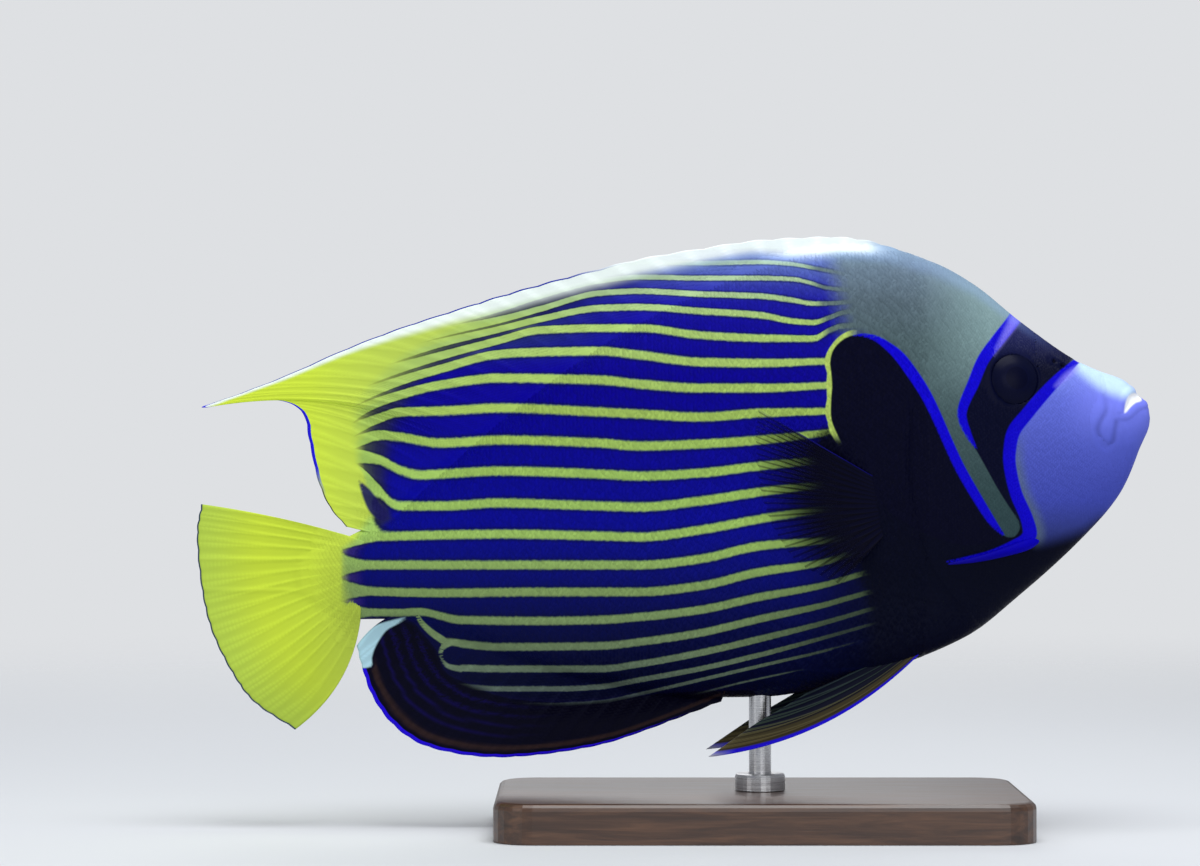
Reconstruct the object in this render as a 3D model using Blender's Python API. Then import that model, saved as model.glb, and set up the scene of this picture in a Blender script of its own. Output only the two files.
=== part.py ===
"""Emperor angelfish, a life-size still model on a plain display stand.

Metres, +Z up. The fish swims towards +X and its right side faces -Y.
The origin is the centre of the stand's underside, straight below the rod.
"""

import math

import bmesh
import bpy
from mathutils import Vector

MM = 0.001
GAP = 0.3  # clearance between touching pieces, in millimetres

# Outline of the flesh in side view, as (x, z) in millimetres from the snout back to the tail root
BACK = [
    (140.4, 148.0), (139.8, 151.8), (138.0, 154.8), (135.2, 157.2), (132.8, 160.6), (128.0, 163.0),
    (123.1, 164.6), (114.1, 168.6), (94.0, 182.5), (77.0, 196.2), (62.3, 204.3), (43.9, 209.4),
    (21.6, 209.0), (0.0, 203.8), (-43.2, 185.2), (-86.4, 156.0), (-118.8, 128.0), (-137.5, 110.9),
    (-145.8, 106.8), (-152.0, 103.5),
]
BELLY = [
    (140.4, 148.0), (140.1, 145.2), (138.2, 140.4), (136.1, 135.9), (133.9, 129.6), (129.2, 120.2),
    (116.6, 105.5), (93.6, 84.4), (73.8, 69.0), (43.2, 57.0), (0.0, 47.5), (-21.6, 47.3),
    (-64.8, 54.4), (-108.0, 68.0), (-126.0, 75.5), (-145.8, 75.3), (-152.0, 77.5),
]
# Half width of the flesh, as (x, half width), and how sharp its back and belly are: 1 is an ellipse
HALF_WIDTH = [
    (140.4, 0.0), (139.6, 3.2), (138.0, 5.2), (135.0, 7.2), (130.0, 8.9), (124.0, 10.4),
    (114.0, 12.8), (92.0, 17.8), (70.0, 21.8), (45.0, 24.6), (22.0, 25.0), (0.0, 24.0),
    (-40.0, 20.6), (-80.0, 15.4), (-115.0, 10.2), (-140.0, 7.2), (-152.0, 3.6),
]
BACK_EDGE = [(140.4, 0.9), (90.0, 0.85), (60.0, 1.0), (20.0, 1.25), (-152.0, 1.2)]
BELLY_EDGE = [(140.4, 0.8), (60.0, 0.8), (-20.0, 0.95), (-152.0, 1.1)]
SNOUT_STEPS = (0.3, 0.9, 1.8, 3.0, 4.6)  # the first rings behind the snout's tip
STATIONS = 50
SIDE_POINTS = 15  # points up one flank, keel and ridge among them

# Borders between the head, the trunk and the tail stock, as (x, z)
GILL_EDGE = [
    (57.0, 222.0), (56.0, 170.0), (53.6, 156.0), (52.0, 142.0), (51.8, 128.0), (54.4, 112.0),
    (59.5, 96.0), (68.0, 84.0), (79.0, 72.0), (88.0, 58.0),
]
TAIL_BORDER = [(-137.2, 125.0), (-139.2, 110.0), (-128.6, 70.0), (-127.4, 60.0)]
GILL_SWELL = 0.9  # how far the gill cover stands over the trunk behind it
GILL_SWELL_FROM, GILL_SWELL_TO = 94.0, 58.0

# Eyes: an oblate ball set in a socket along the normal of the flank
EYE_X, EYE_Z = 90.2, 161.9
EYE_RADIUS, EYE_DEPTH, EYE_SUNK = 10.4, 5.8, 3.5

# Mouth: a wedge let into the snout between two lips, each rim from the corner to the front
UPPER_RIM = [(127.4, 149.9), (129.2, 153.6), (130.6, 157.0), (132.0, 159.6)]
LOWER_RIM = [(127.6, 148.4), (131.6, 149.2), (135.6, 150.2), (138.6, 151.0)]
MOUTH_DEPTH = 1.1
UPPER_LIP_RADIUS, LOWER_LIP_RADIUS = 2.5, 2.7
LIP_PROUD = 0.8  # how far the lips stand out of the snout
# Fold from the bridge of the snout down behind the upper lip and round the flap at the mouth corner
LIP_FOLD = [
    (123.6, 162.6), (124.2, 155.4), (124.4, 150.4), (122.2, 147.0), (121.2, 143.4), (123.0, 139.2),
    (126.0, 137.4), (128.2, 139.6), (129.0, 143.0), (129.0, 145.4),
]
FOLD_RADIUS = 0.7
NOSTRILS = [(105.0, 168.3), (108.1, 166.6)]
NOSTRIL_RADIUS, NOSTRIL_DEPTH = 0.9, 1.1

# Spine at the corner of the cheek, from its root back to its point, as (x, z, radius)
CHEEK_SPINE = [(99.0, 104.6, 1.2), (94.0, 102.4, 2.1), (84.0, 99.4, 1.8), (75.0, 97.3, 1.2), (66.0, 96.1, 0.35)]
CHEEK_SPINE_LIFT = [-1.4, 0.0, 1.0, 1.7, 2.2]

# Fins in the middle plane: guide rays, front to back, as (root x, tip x, tip z, bow)
DORSAL = [
    (43.0, 43.2, 211.2, 0.0), (29.0, 29.5, 213.2, 0.0), (14.4, 13.7, 213.0, 0.0),
    (1.0, -3.6, 211.8, 0.0), (-13.0, -23.4, 208.8, 0.0), (-26.0, -43.2, 205.4, 0.0),
    (-38.0, -61.9, 200.8, 0.0), (-49.0, -79.2, 196.2, 0.0), (-59.0, -95.4, 191.5, -0.5),
    (-68.5, -112.3, 186.1, -1.0), (-77.0, -130.3, 180.2, -2.0), (-85.0, -149.4, 172.8, -3.5),
    (-92.0, -171.0, 163.2, -5.0), (-97.5, -189.0, 156.2, -7.0), (-101.5, -201.0, 151.8, -8.0),
    (-105.5, -184.0, 154.0, -6.5), (-110.0, -171.5, 154.0, -4.5), (-114.5, -164.5, 149.4, -2.5),
    (-120.5, -162.4, 140.0, -1.0), (-126.5, -159.5, 126.7, 0.0), (-132.5, -155.2, 116.3, 0.0),
    (-138.4, -149.0, 108.9, 0.0),
]
# The same for the anal fin, which bows only at its last ray
ANAL = [
    (-12.0, -14.0, 45.9), (-20.0, -27.4, 40.7), (-29.0, -41.0, 35.6), (-38.0, -54.7, 31.0),
    (-47.0, -68.4, 28.2), (-57.0, -82.4, 26.4), (-67.0, -96.1, 25.8), (-78.0, -109.8, 27.2),
    (-89.0, -123.1, 31.0), (-99.0, -133.2, 38.6), (-108.0, -139.9, 48.4), (-117.0, -143.3, 58.2),
    (-125.0, -145.2, 66.0),
]
ROOT_SINK = 4.0  # how far into the flesh a fin starts before it is cut to fit
# Tail fin: guide rays, top to bottom, as (root x, root z, tip x, tip z, bow)
CAUDAL = [
    (-144.0, 104.3, -201.2, 117.0, -1.2), (-145.5, 100.3, -202.8, 106.0, 0.0),
    (-146.5, 95.4, -201.1, 86.8, 0.0), (-146.8, 90.4, -197.3, 70.9, 0.5),
    (-146.5, 85.6, -189.6, 55.4, 1.5), (-145.3, 81.2, -181.6, 45.2, 3.0),
    (-143.6, 78.0, -167.4, 35.8, 5.5),
]
DORSAL_SPINES, DORSAL_RAYS, ANAL_RAYS, CAUDAL_RAYS = 14, 20, 22, 17
FIN_ROWS = 6
EDGE_HALF = 0.42  # half thickness of a fin's free edge
MEMBRANE_SHARE = 0.6  # membrane thickness beside its rays

# Paired fins: a root on the flank, then the tips of guide rays in side view, top to bottom
PECTORAL_RAYS = 17
PECTORAL_ROOT_TOP, PECTORAL_ROOT_LOW = (43.8, 124.5), (46.2, 110.0)
PECTORAL_TIPS = [
    (-2.6, 151.3), (-3.6, 142.0), (-3.0, 131.0), (-1.0, 119.2), (4.0, 107.0), (12.0, 96.6), (27.0, 88.8),
]
PECTORAL_FLARE = 17.0  # degrees out from the flank
PELVIC_RAYS = 6
PELVIC_ROOT_FRONT, PELVIC_ROOT_BACK = (60.5, 67.5), (49.0, 63.8)
PELVIC_TIPS = [(-19.0, 27.4), (-12.8, 31.7), (-6.6, 36.0), (-1.0, 39.8), (7.2, 44.5), (16.6, 50.2)]
PELVIC_ROOT_SPREAD, PELVIC_TIP_SPREAD = 5.0, 17.0
PELVIC_SAG = (3.4, 0.0, -7.6)  # how far the leading ray bows forward and down

# Stand
BASE_LENGTH, BASE_DEPTH, BASE_HEIGHT = 190.0, 112.0, 14.0
BASE_CORNER, BASE_BEVEL = 14.0, 2.5
ROD_RADIUS, ROD_TOP = 4.0, 62.0
COLLAR_RADIUS, COLLAR_HEIGHT = 9.0, 6.0

COLOURS = {
    "flank": (0.035, 0.015, 0.27), "face": (0.13, 0.15, 0.60), "yellow": (0.55, 0.70, 0.06),
    "navy": (0.012, 0.012, 0.07), "eye": (0.006, 0.008, 0.02), "walnut": (0.055, 0.026, 0.014),
    "steel": (0.62, 0.62, 0.64),
}


def smooth_profile(points):
    """A smooth function of x through (x, value) points, with no overshoot between them."""
    points = sorted(points)
    xs = [p[0] for p in points]
    ys = [p[1] for p in points]
    steps = [(ys[i + 1] - ys[i]) / (xs[i + 1] - xs[i]) for i in range(len(xs) - 1)]
    slopes = [steps[0]]
    for before, after in zip(steps, steps[1:]):
        slopes.append(0.0 if before * after <= 0 else 2 * before * after / (before + after))
    slopes.append(steps[-1])

    def value(x):
        x = min(max(x, xs[0]), xs[-1])
        i = max(k for k in range(len(xs) - 1) if xs[k] <= x)
        width = xs[i + 1] - xs[i]
        t = (x - xs[i]) / width
        return (
            (1 + 2 * t) * (1 - t) ** 2 * ys[i] + t * (1 - t) ** 2 * width * slopes[i]
            + t * t * (3 - 2 * t) * ys[i + 1] + t * t * (t - 1) * width * slopes[i + 1]
        )

    return value


def curve_through(points):
    """A smooth curve through points, as a function of t from 0 at the first to 1 at the last."""
    points = [Vector(p) for p in points]
    padded = [2 * points[0] - points[1], *points, 2 * points[-1] - points[-2]]

    def place(t):
        at = min(max(t, 0.0), 1.0) * (len(points) - 1)
        i = min(int(at), len(points) - 2)
        f = at - i
        a, b, c, d = padded[i:i + 4]
        return 0.5 * (2 * b + (c - a) * f + (2 * a - 5 * b + 4 * c - d) * f * f + (3 * b - a - 3 * c + d) * f ** 3)

    return place


def smooth_step(value, start, end):
    t = min(max((value - start) / (end - start), 0.0), 1.0)
    return t * t * (3 - 2 * t)


back_z = smooth_profile(BACK)
belly_z = smooth_profile(BELLY)
half_width = smooth_profile(HALF_WIDTH)
back_edge = smooth_profile(BACK_EDGE)
belly_edge = smooth_profile(BELLY_EDGE)
SNOUT_X, TAIL_X = BACK[0][0], BACK[-1][0]


def gill_swell(x):
    return GILL_SWELL * smooth_step(x, GILL_SWELL_FROM, GILL_SWELL_TO)


def flank_width(x, z, swell=False):
    """Half width of the flesh at a place in side view."""
    middle, reach = (back_z(x) + belly_z(x)) / 2, (back_z(x) - belly_z(x)) / 2
    rise = min(max((z - middle) / reach, -0.999), 0.999)
    edge = back_edge(x) if rise > 0 else belly_edge(x)
    return (half_width(x) + (gill_swell(x) if swell else 0.0)) * math.sqrt(1 - rise * rise) ** edge


def flank_point(x, z, side, lift=0.0, swell=True):
    """A point on the flank, lifted off it along Y. side is -1 on the right and 1 on the left."""
    return Vector((x, side * (flank_width(x, z, swell) + lift), z))


def flank_normal(x, z, side):
    """Outward normal of the flank, from the slopes of its half width."""
    step = 0.5
    along = (flank_width(x + step, z, True) - flank_width(x - step, z, True)) / (2 * step)
    up = (flank_width(x, z + step, True) - flank_width(x, z - step, True)) / (2 * step)
    return Vector((-along, side, -up)).normalized()


def material(name):
    """A plain finish in one of the named colours."""
    found = bpy.data.materials.get(name)
    if found is None:
        found = bpy.data.materials.new(name)
        found.use_nodes = True
        shader = found.node_tree.nodes["Principled BSDF"]
        shader.inputs["Base Color"].default_value = (*COLOURS[name], 1.0)
        shader.inputs["Roughness"].default_value = 0.3 if name in ("eye", "steel") else 0.5
        shader.inputs["Metallic"].default_value = 1.0 if name == "steel" else 0.0
    return found


def add_object(name, mesh, colour, collection):
    thing = bpy.data.objects.new(name, mesh)
    mesh.materials.clear()
    mesh.materials.append(material(colour))
    collection.objects.link(thing)
    return thing


def mesh_from(name, build):
    """A mesh filled in by build(bm), in millimetres, and scaled to metres."""
    bm = bmesh.new()
    build(bm)
    bmesh.ops.scale(bm, vec=(MM, MM, MM), verts=bm.verts)
    bmesh.ops.recalc_face_normals(bm, faces=bm.faces)
    mesh = bpy.data.meshes.new(name)
    bm.to_mesh(mesh)
    bm.free()
    return mesh


def boolean(thing, operation, others=None, collection=None, solver="EXACT"):
    """Applies one Boolean with an object or a collection, and keeps the largest closed surface."""
    modifier = thing.modifiers.new(operation.title(), "BOOLEAN")
    modifier.operation = operation
    modifier.solver = solver
    if collection:
        modifier.operand_type = "COLLECTION"
        modifier.collection = collection
    else:
        modifier.object = others
    bpy.context.view_layer.update()
    graph = bpy.context.evaluated_depsgraph_get()
    mesh = bpy.data.meshes.new_from_object(thing.evaluated_get(graph), depsgraph=graph)
    thing.modifiers.clear()
    thing.data = mesh
    keep_largest(mesh)
    return thing


def keep_largest(mesh):
    """Leaves only the largest connected surface of a mesh."""
    bm = bmesh.new()
    bm.from_mesh(mesh)
    bm.verts.ensure_lookup_table()
    island_of = {}
    islands = []
    for seed in bm.verts:
        if seed in island_of:
            continue
        island, front = [], [seed]
        island_of[seed] = len(islands)
        while front:
            vert = front.pop()
            island.append(vert)
            for edge in vert.link_edges:
                other = edge.other_vert(vert)
                if other not in island_of:
                    island_of[other] = len(islands)
                    front.append(other)
        islands.append(island)
    islands.sort(key=len)
    scraps = [vert for island in islands[:-1] for vert in island]
    bmesh.ops.delete(bm, geom=scraps, context="VERTS")
    bm.to_mesh(mesh)
    bm.free()


def stations():
    """Where the rings lie: close together at the snout and the tail root, wider along the trunk."""
    start = SNOUT_X - SNOUT_STEPS[-1] - 1.4
    places = [SNOUT_X - step for step in SNOUT_STEPS]
    for i in range(STATIONS + 1):
        t = i / STATIONS
        places.append(start + (TAIL_X - start) * (t - 0.09 * math.sin(2 * math.pi * t)))
    return places


def flesh_mesh(name, grow=0.0, swell=False):
    """The whole of the flesh as one loft of rings, from the snout's tip to the tail root."""

    def build(bm):
        rings = []
        for x in stations():
            top, low = back_z(x) + grow, belly_z(x) - grow
            width = max(half_width(x) + grow, 0.1) + (gill_swell(x) if swell else 0.0)
            ring = []
            for k in range(2 * SIDE_POINTS - 2):
                angle = -math.pi / 2 + math.pi * k / (SIDE_POINTS - 1)
                edge = back_edge(x) if math.sin(angle) > 0 else belly_edge(x)
                spread = math.copysign(abs(math.cos(angle)) ** edge, math.cos(angle))
                if k in (0, SIDE_POINTS - 1):
                    spread = 0.0
                z = (top + low) / 2 + (top - low) / 2 * math.sin(angle)
                ring.append(bm.verts.new((x - (grow if x == TAIL_X else 0.0), -width * spread, z)))
            rings.append(ring)
        snout = bm.verts.new((SNOUT_X + grow, 0.0, BACK[0][1]))
        count = len(rings[0])
        for a, b in zip(rings, rings[1:]):
            for k in range(count):
                m = (k + 1) % count
                bm.faces.new((a[k], a[m], b[m], b[k]))
        for k in range(count):
            bm.faces.new((snout, rings[0][(k + 1) % count], rings[0][k]))
        bm.faces.new(rings[-1])

    return mesh_from(name, build)


def side_prism(name, outline, half_depth=60.0):
    """A closed prism with an outline in side view, reaching across the fish."""

    def build(bm):
        face = bm.faces.new([bm.verts.new((x, -half_depth, z)) for x, z in outline])
        made = bmesh.ops.extrude_face_region(bm, geom=[face])["geom"]
        moved = [v for v in made if isinstance(v, bmesh.types.BMVert)]
        bmesh.ops.translate(bm, vec=(0.0, 2 * half_depth, 0.0), verts=moved)

    return mesh_from(name, build)


def border_outline(border, far_x, shift=0.0, pieces=24):
    """The outline between a border and far_x, with the border moved by shift."""
    line = curve_through(border)
    near = [(p.x + shift, p.y) for p in (line(i / pieces) for i in range(pieces + 1))]
    return [(far_x, near[0][1]), *near, (far_x, near[-1][1])]


def helper(name, mesh):
    """A cutter, kept out of the model."""
    thing = bpy.data.objects.new(name, mesh)
    bpy.data.collections["cutters"].objects.link(thing)
    thing.hide_render = True
    thing.display_type = "WIRE"
    return thing


def remove(thing):
    bpy.data.objects.remove(thing)


def oblate_ball(bm, centre, normal, radius, depth, segments, rings):
    """A ball flattened along its normal."""
    made = bmesh.ops.create_uvsphere(bm, u_segments=segments, v_segments=rings, radius=1.0)["verts"]
    bmesh.ops.scale(bm, vec=(radius, radius, depth), verts=made)
    turn = Vector((0, 0, 1)).rotation_difference(normal)
    bmesh.ops.rotate(bm, cent=(0, 0, 0), matrix=turn.to_matrix(), verts=made)
    bmesh.ops.translate(bm, vec=centre, verts=made)


def eye_place(side):
    normal = flank_normal(EYE_X, EYE_Z, side)
    return flank_point(EYE_X, EYE_Z, side) - normal * EYE_SUNK, normal


def tube_mesh(name, points, radii, sides=2):
    """A round tube through points, tapering by its radii, as one closed mesh."""
    curve = bpy.data.curves.new(name, "CURVE")
    curve.dimensions = "3D"
    curve.bevel_depth = MM
    curve.bevel_resolution = sides
    curve.use_fill_caps = True
    line = curve.splines.new("POLY")
    line.points.add(len(points) - 1)
    for spot, place, radius in zip(line.points, points, radii):
        spot.co = (*(Vector(place) * MM), 1.0)
        spot.radius = radius
    thing = bpy.data.objects.new(name, curve)
    bpy.data.collections["cutters"].objects.link(thing)
    bpy.context.view_layer.update()
    graph = bpy.context.evaluated_depsgraph_get()
    mesh = bpy.data.meshes.new_from_object(thing.evaluated_get(graph), depsgraph=graph)
    bpy.data.objects.remove(thing)
    bpy.data.curves.remove(curve)
    bm = bmesh.new()
    bm.from_mesh(mesh)
    bmesh.ops.remove_doubles(bm, verts=bm.verts, dist=0.00001)
    bmesh.ops.recalc_face_normals(bm, faces=bm.faces)
    bm.to_mesh(mesh)
    bm.free()
    return mesh


def lip_mesh(name, rim, radius, pieces=16):
    """A lip roll along its rim, from one mouth corner round the front to the other."""
    line = curve_through([(x, 0.0, z) for x, z in rim])
    points, radii = [], []
    for i in range(pieces + 1):
        along = 1 - abs(2 * i / pieces - 1)
        place = line(1 - (1 - along) ** 1.6)
        thick = radius * (0.6 + 0.4 * along)
        sunk = thick - LIP_PROUD + (LIP_PROUD + 1.2) * max(0.0, 1 - 4 * along)
        side = -1 if 2 * i < pieces else 1
        spread = (flank_width(place.x, place.z) - sunk) * min(1.0, 2.2 * (1 - along))
        points.append((place.x - sunk * along, side * max(spread, 0.0), place.z - 0.3 * sunk * along))
        radii.append(thick)
    return tube_mesh(name, points, radii, 3)


def fold_mesh(name, side, pieces=22):
    """A thin tube along the fold behind the lips, lying on the flank."""
    line = curve_through([(x, 0.0, z) for x, z in LIP_FOLD])
    places = [line(i / pieces) for i in range(pieces + 1)]
    points = [flank_point(p.x, p.z, side, 0.2) for p in places]
    radii = [FOLD_RADIUS * (0.4 + 0.6 * math.sin(math.pi * i / pieces) ** 0.5) for i in range(pieces + 1)]
    return tube_mesh(name, points, radii)


def mouth_mesh(name):
    """The wedge between the lips, as a prism open towards the front."""
    upper = curve_through([(x, z) for x, z in UPPER_RIM])
    lower = curve_through([(x, z) for x, z in LOWER_RIM])
    outline = [tuple(upper(i / 6)) for i in range(7)] + [(136.0, 162.0), (144.0, 158.0)]
    outline += [tuple(lower(1 - i / 6)) for i in range(6)]
    return side_prism(name, outline, 20.0)


def cheek_spine_mesh(name, side):
    points = [flank_point(x, z, side, lift) for (x, z, _), lift in zip(CHEEK_SPINE, CHEEK_SPINE_LIFT)]
    return tube_mesh(name, points, [radius for _, _, radius in CHEEK_SPINE])


def plate_mesh(name, grid, normals, halves):
    """A closed plate from rows of centre points, split into triangles alike on both faces."""

    def build(bm):
        rows, columns = len(grid), len(grid[0])
        sheets = [
            [[bm.verts.new(grid[r][c] + sign * halves[r][c] * normals[r][c]) for c in range(columns)]
             for r in range(rows)]
            for sign in (1, -1)
        ]
        for sheet, turned in zip(sheets, (False, True)):
            for r in range(rows - 1):
                for c in range(columns - 1):
                    a, b = sheet[r][c], sheet[r][c + 1]
                    d, e = sheet[r + 1][c], sheet[r + 1][c + 1]
                    for corners in ((a, b, e), (a, e, d)):
                        bm.faces.new(corners[::-1] if turned else corners)
        border = [(0, c) for c in range(columns)] + [(r, columns - 1) for r in range(1, rows)]
        border += [(rows - 1, c) for c in range(columns - 2, -1, -1)] + [(r, 0) for r in range(rows - 2, 0, -1)]
        for (r, c), (s, d) in zip(border, border[1:] + border[:1]):
            front, back = sheets
            bm.faces.new((front[s][d], front[r][c], back[r][c]))
            bm.faces.new((front[s][d], back[r][c], back[s][d]))

    return mesh_from(name, build)


def ray_halves(columns, rows, root_half, ray_half, edge_half):
    """Half thickness over a fin: full on every second column, its rays, and less on the membrane."""
    halves = []
    for r in range(rows + 1):
        out = r / rows
        ray = edge_half + (ray_half - edge_half) * (1 - out) + (root_half - ray_half) * (1 - out) ** 6
        membrane = max(0.28, MEMBRANE_SHARE * (ray_half * (1 - out) + edge_half * out))
        membrane += (root_half - ray_half) * (1 - out) ** 6
        halves.append([ray if c % 2 == 0 else membrane for c in range(columns)])
    return halves


def upright_fin(name, guides, rays, root_half, ray_half, notched=0):
    """A fin in the fish's own middle plane. Each guide is a root, a tip and how far its ray bows."""
    root_line = curve_through([(x, 0.0, z) for (x, z), _, _ in guides])
    tip_line = curve_through([(x, 0.0, z) for _, (x, z), _ in guides])
    bow_line = curve_through([(bow, 0.0, 0.0) for _, _, bow in guides])
    columns = 2 * rays - 1
    grid = []
    for r in range(FIN_ROWS + 1):
        out = r / FIN_ROWS
        row = []
        for c in range(columns):
            t = c / (columns - 1)
            root = root_line(t)
            reach = tip_line(t) - root
            if c % 2 and c < 2 * notched:
                reach *= 0.95
            across = Vector((-reach.z, 0.0, reach.x)).normalized() * bow_line(t).x
            row.append(root + reach * out + across * 4 * out * (1 - out))
        grid.append(row)
    normals = [[Vector((0, 1, 0))] * columns for _ in grid]
    return plate_mesh(name, grid, normals, ray_halves(columns, FIN_ROWS, root_half, ray_half, EDGE_HALF))


def back_guides():
    return [((x, back_z(x) - ROOT_SINK), (tip_x, tip_z), bow) for x, tip_x, tip_z, bow in DORSAL]


def belly_guides():
    last = len(ANAL) - 1
    return [
        ((x, belly_z(x) + ROOT_SINK), (tip_x, tip_z), -2.5 * (i == last))
        for i, (x, tip_x, tip_z) in enumerate(ANAL)
    ]


def tail_guides():
    return [((x, z), (tip_x, tip_z), bow) for x, z, tip_x, tip_z, bow in CAUDAL]


def pectoral_mesh(name, side):
    """A side fin held out from the flank and cupped, its rays fanned from a short root."""
    columns = 2 * PECTORAL_RAYS - 1
    tips = curve_through([(x, 0.0, z) for x, z in PECTORAL_TIPS])
    flare = math.radians(PECTORAL_FLARE)
    grid, normals = [], []
    for r in range(FIN_ROWS + 1):
        out = r / FIN_ROWS
        row, facing = [], []
        for c in range(columns):
            t = c / (columns - 1)
            x = PECTORAL_ROOT_TOP[0] + (PECTORAL_ROOT_LOW[0] - PECTORAL_ROOT_TOP[0]) * t
            z = PECTORAL_ROOT_TOP[1] + (PECTORAL_ROOT_LOW[1] - PECTORAL_ROOT_TOP[1]) * t
            root = flank_point(x, z, side, -2.5, swell=False)
            reach = tips(t) - Vector((x, 0.0, z))
            reach *= 1 - 0.02 * (c % 2)
            outward = reach.length * math.tan(flare) + 3.0 * math.sin(math.pi * t)
            row.append(root + (reach + Vector((0.0, side * outward, 0.0))) * out)
            facing.append(Vector((math.sin(flare), side * math.cos(flare), 0.0)))
        grid.append(row)
        normals.append(facing)
    return plate_mesh(name, grid, normals, ray_halves(columns, FIN_ROWS, 1.5, 0.8, 0.35))


def pelvic_mesh(name, side):
    """A long belly fin, its stout front ray and five softer ones drawn out to a point."""
    columns = 2 * PELVIC_RAYS - 1
    tips = curve_through([(x, 0.0, z) for x, z in PELVIC_TIPS])
    grid, normals = [], []
    for r in range(FIN_ROWS + 1):
        out = r / FIN_ROWS
        row, facing = [], []
        for c in range(columns):
            t = c / (columns - 1)
            x = PELVIC_ROOT_FRONT[0] + (PELVIC_ROOT_BACK[0] - PELVIC_ROOT_FRONT[0]) * t
            z = PELVIC_ROOT_FRONT[1] + (PELVIC_ROOT_BACK[1] - PELVIC_ROOT_FRONT[1]) * t
            root = Vector((x, side * PELVIC_ROOT_SPREAD, z))
            tip = tips(t)
            tip.y = side * (PELVIC_TIP_SPREAD - 3.0 * t)
            sag = Vector(PELVIC_SAG) * (1 - t) * 4 * out * (1 - out)
            row.append(root + (tip - root) * out + sag)
            facing.append(Vector((0.12, side, -0.2)).normalized())
        grid.append(row)
        normals.append(facing)
    return plate_mesh(name, grid, normals, ray_halves(columns, FIN_ROWS, 2.0, 1.0, 0.32))


def make_flesh(parts):
    """Head, trunk and tail stock, modelled whole and parted by thin cuts."""
    head = add_object("head", flesh_mesh("head", swell=True), "face", parts)
    front = helper("front_region", side_prism("front_region", border_outline(GILL_EDGE, 160.0)))
    boolean(head, "INTERSECT", front)
    for side in (-1, 1):
        centre, normal = eye_place(side)
        socket = helper("socket", mesh_from("socket", lambda bm: oblate_ball(
            bm, centre, normal, EYE_RADIUS + GAP, EYE_DEPTH + GAP, 24, 12)))
        boolean(head, "DIFFERENCE", socket)
        remove(socket)
    remove(front)

    trunk = add_object("trunk", flesh_mesh("trunk"), "flank", parts)
    ahead = helper("ahead", side_prism("ahead", border_outline(GILL_EDGE, 170.0, -GAP)))
    behind = helper("behind", side_prism("behind", border_outline(TAIL_BORDER, -170.0, GAP / 2)))
    boolean(trunk, "DIFFERENCE", ahead)
    boolean(trunk, "DIFFERENCE", behind)

    tail = add_object("tail_stock", flesh_mesh("tail_stock"), "yellow", parts)
    rear = helper("rear", side_prism("rear", border_outline(TAIL_BORDER, -170.0, -GAP / 2)))
    boolean(tail, "INTERSECT", rear)
    for cutter in (ahead, behind, rear):
        remove(cutter)
    return head


def make_mouth_and_cheeks(head):
    """The mouth let into the snout, lips and cheek spines fused with the head, folds and nostrils."""
    mouth = helper("mouth", mouth_mesh("mouth"))
    inside = helper("inside", flesh_mesh("inside", grow=-MOUTH_DEPTH))
    boolean(mouth, "DIFFERENCE", inside)
    boolean(head, "DIFFERENCE", mouth)
    remove(mouth)
    remove(inside)
    pieces = bpy.data.collections.new("head_pieces")
    bpy.context.scene.collection.children.link(pieces)
    add_object("upper_lip", lip_mesh("upper_lip", UPPER_RIM, UPPER_LIP_RADIUS), "face", pieces)
    add_object("lower_lip", lip_mesh("lower_lip", LOWER_RIM, LOWER_LIP_RADIUS), "face", pieces)
    for side, word in ((-1, "right"), (1, "left")):
        add_object(f"cheek_spine_{word}", cheek_spine_mesh(f"cheek_spine_{word}", side), "flank", pieces)
    boolean(head, "UNION", collection=pieces)
    for thing in list(pieces.objects):
        remove(thing)
    bpy.data.collections.remove(pieces)
    for side in (-1, 1):
        for x, z in NOSTRILS:
            normal = flank_normal(x, z, side)
            place = flank_point(x, z, side)
            pit = helper("pit", mesh_from("pit", lambda bm: oblate_ball(
                bm, place, normal, NOSTRIL_RADIUS, NOSTRIL_DEPTH, 8, 6)))
            boolean(head, "DIFFERENCE", pit)
            remove(pit)
        fold = helper("fold", fold_mesh("fold", side))
        boolean(head, "DIFFERENCE", fold)
        remove(fold)


def make_eyes(parts):
    for side, word in ((-1, "right"), (1, "left")):
        centre, normal = eye_place(side)
        mesh = mesh_from(f"eye_{word}", lambda bm: oblate_ball(
            bm, centre, normal, EYE_RADIUS, EYE_DEPTH, 24, 12))
        add_object(f"eye_{word}", mesh, "eye", parts)


def make_fins(parts):
    """Every fin, cut where it meets the flesh so that it fits against it."""
    cutter = helper("flesh_with_gap", flesh_mesh("flesh_with_gap", grow=GAP))
    fins = [
        ("dorsal_fin", upright_fin(
            "dorsal_fin", back_guides(), DORSAL_SPINES + DORSAL_RAYS, 2.6, 1.2, DORSAL_SPINES), "yellow"),
        ("anal_fin", upright_fin("anal_fin", belly_guides(), ANAL_RAYS, 2.6, 1.1), "navy"),
        ("caudal_fin", upright_fin("caudal_fin", tail_guides(), CAUDAL_RAYS, 3.0, 1.2), "yellow"),
    ]
    for side, word in ((-1, "right"), (1, "left")):
        fins.append((f"pectoral_fin_{word}", pectoral_mesh(f"pectoral_fin_{word}", side), "navy"))
        fins.append((f"pelvic_fin_{word}", pelvic_mesh(f"pelvic_fin_{word}", side), "navy"))
    for name, mesh, colour in fins:
        fin = add_object(name, mesh, colour, parts)
        boolean(fin, "DIFFERENCE", cutter)
    return cutter


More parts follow.
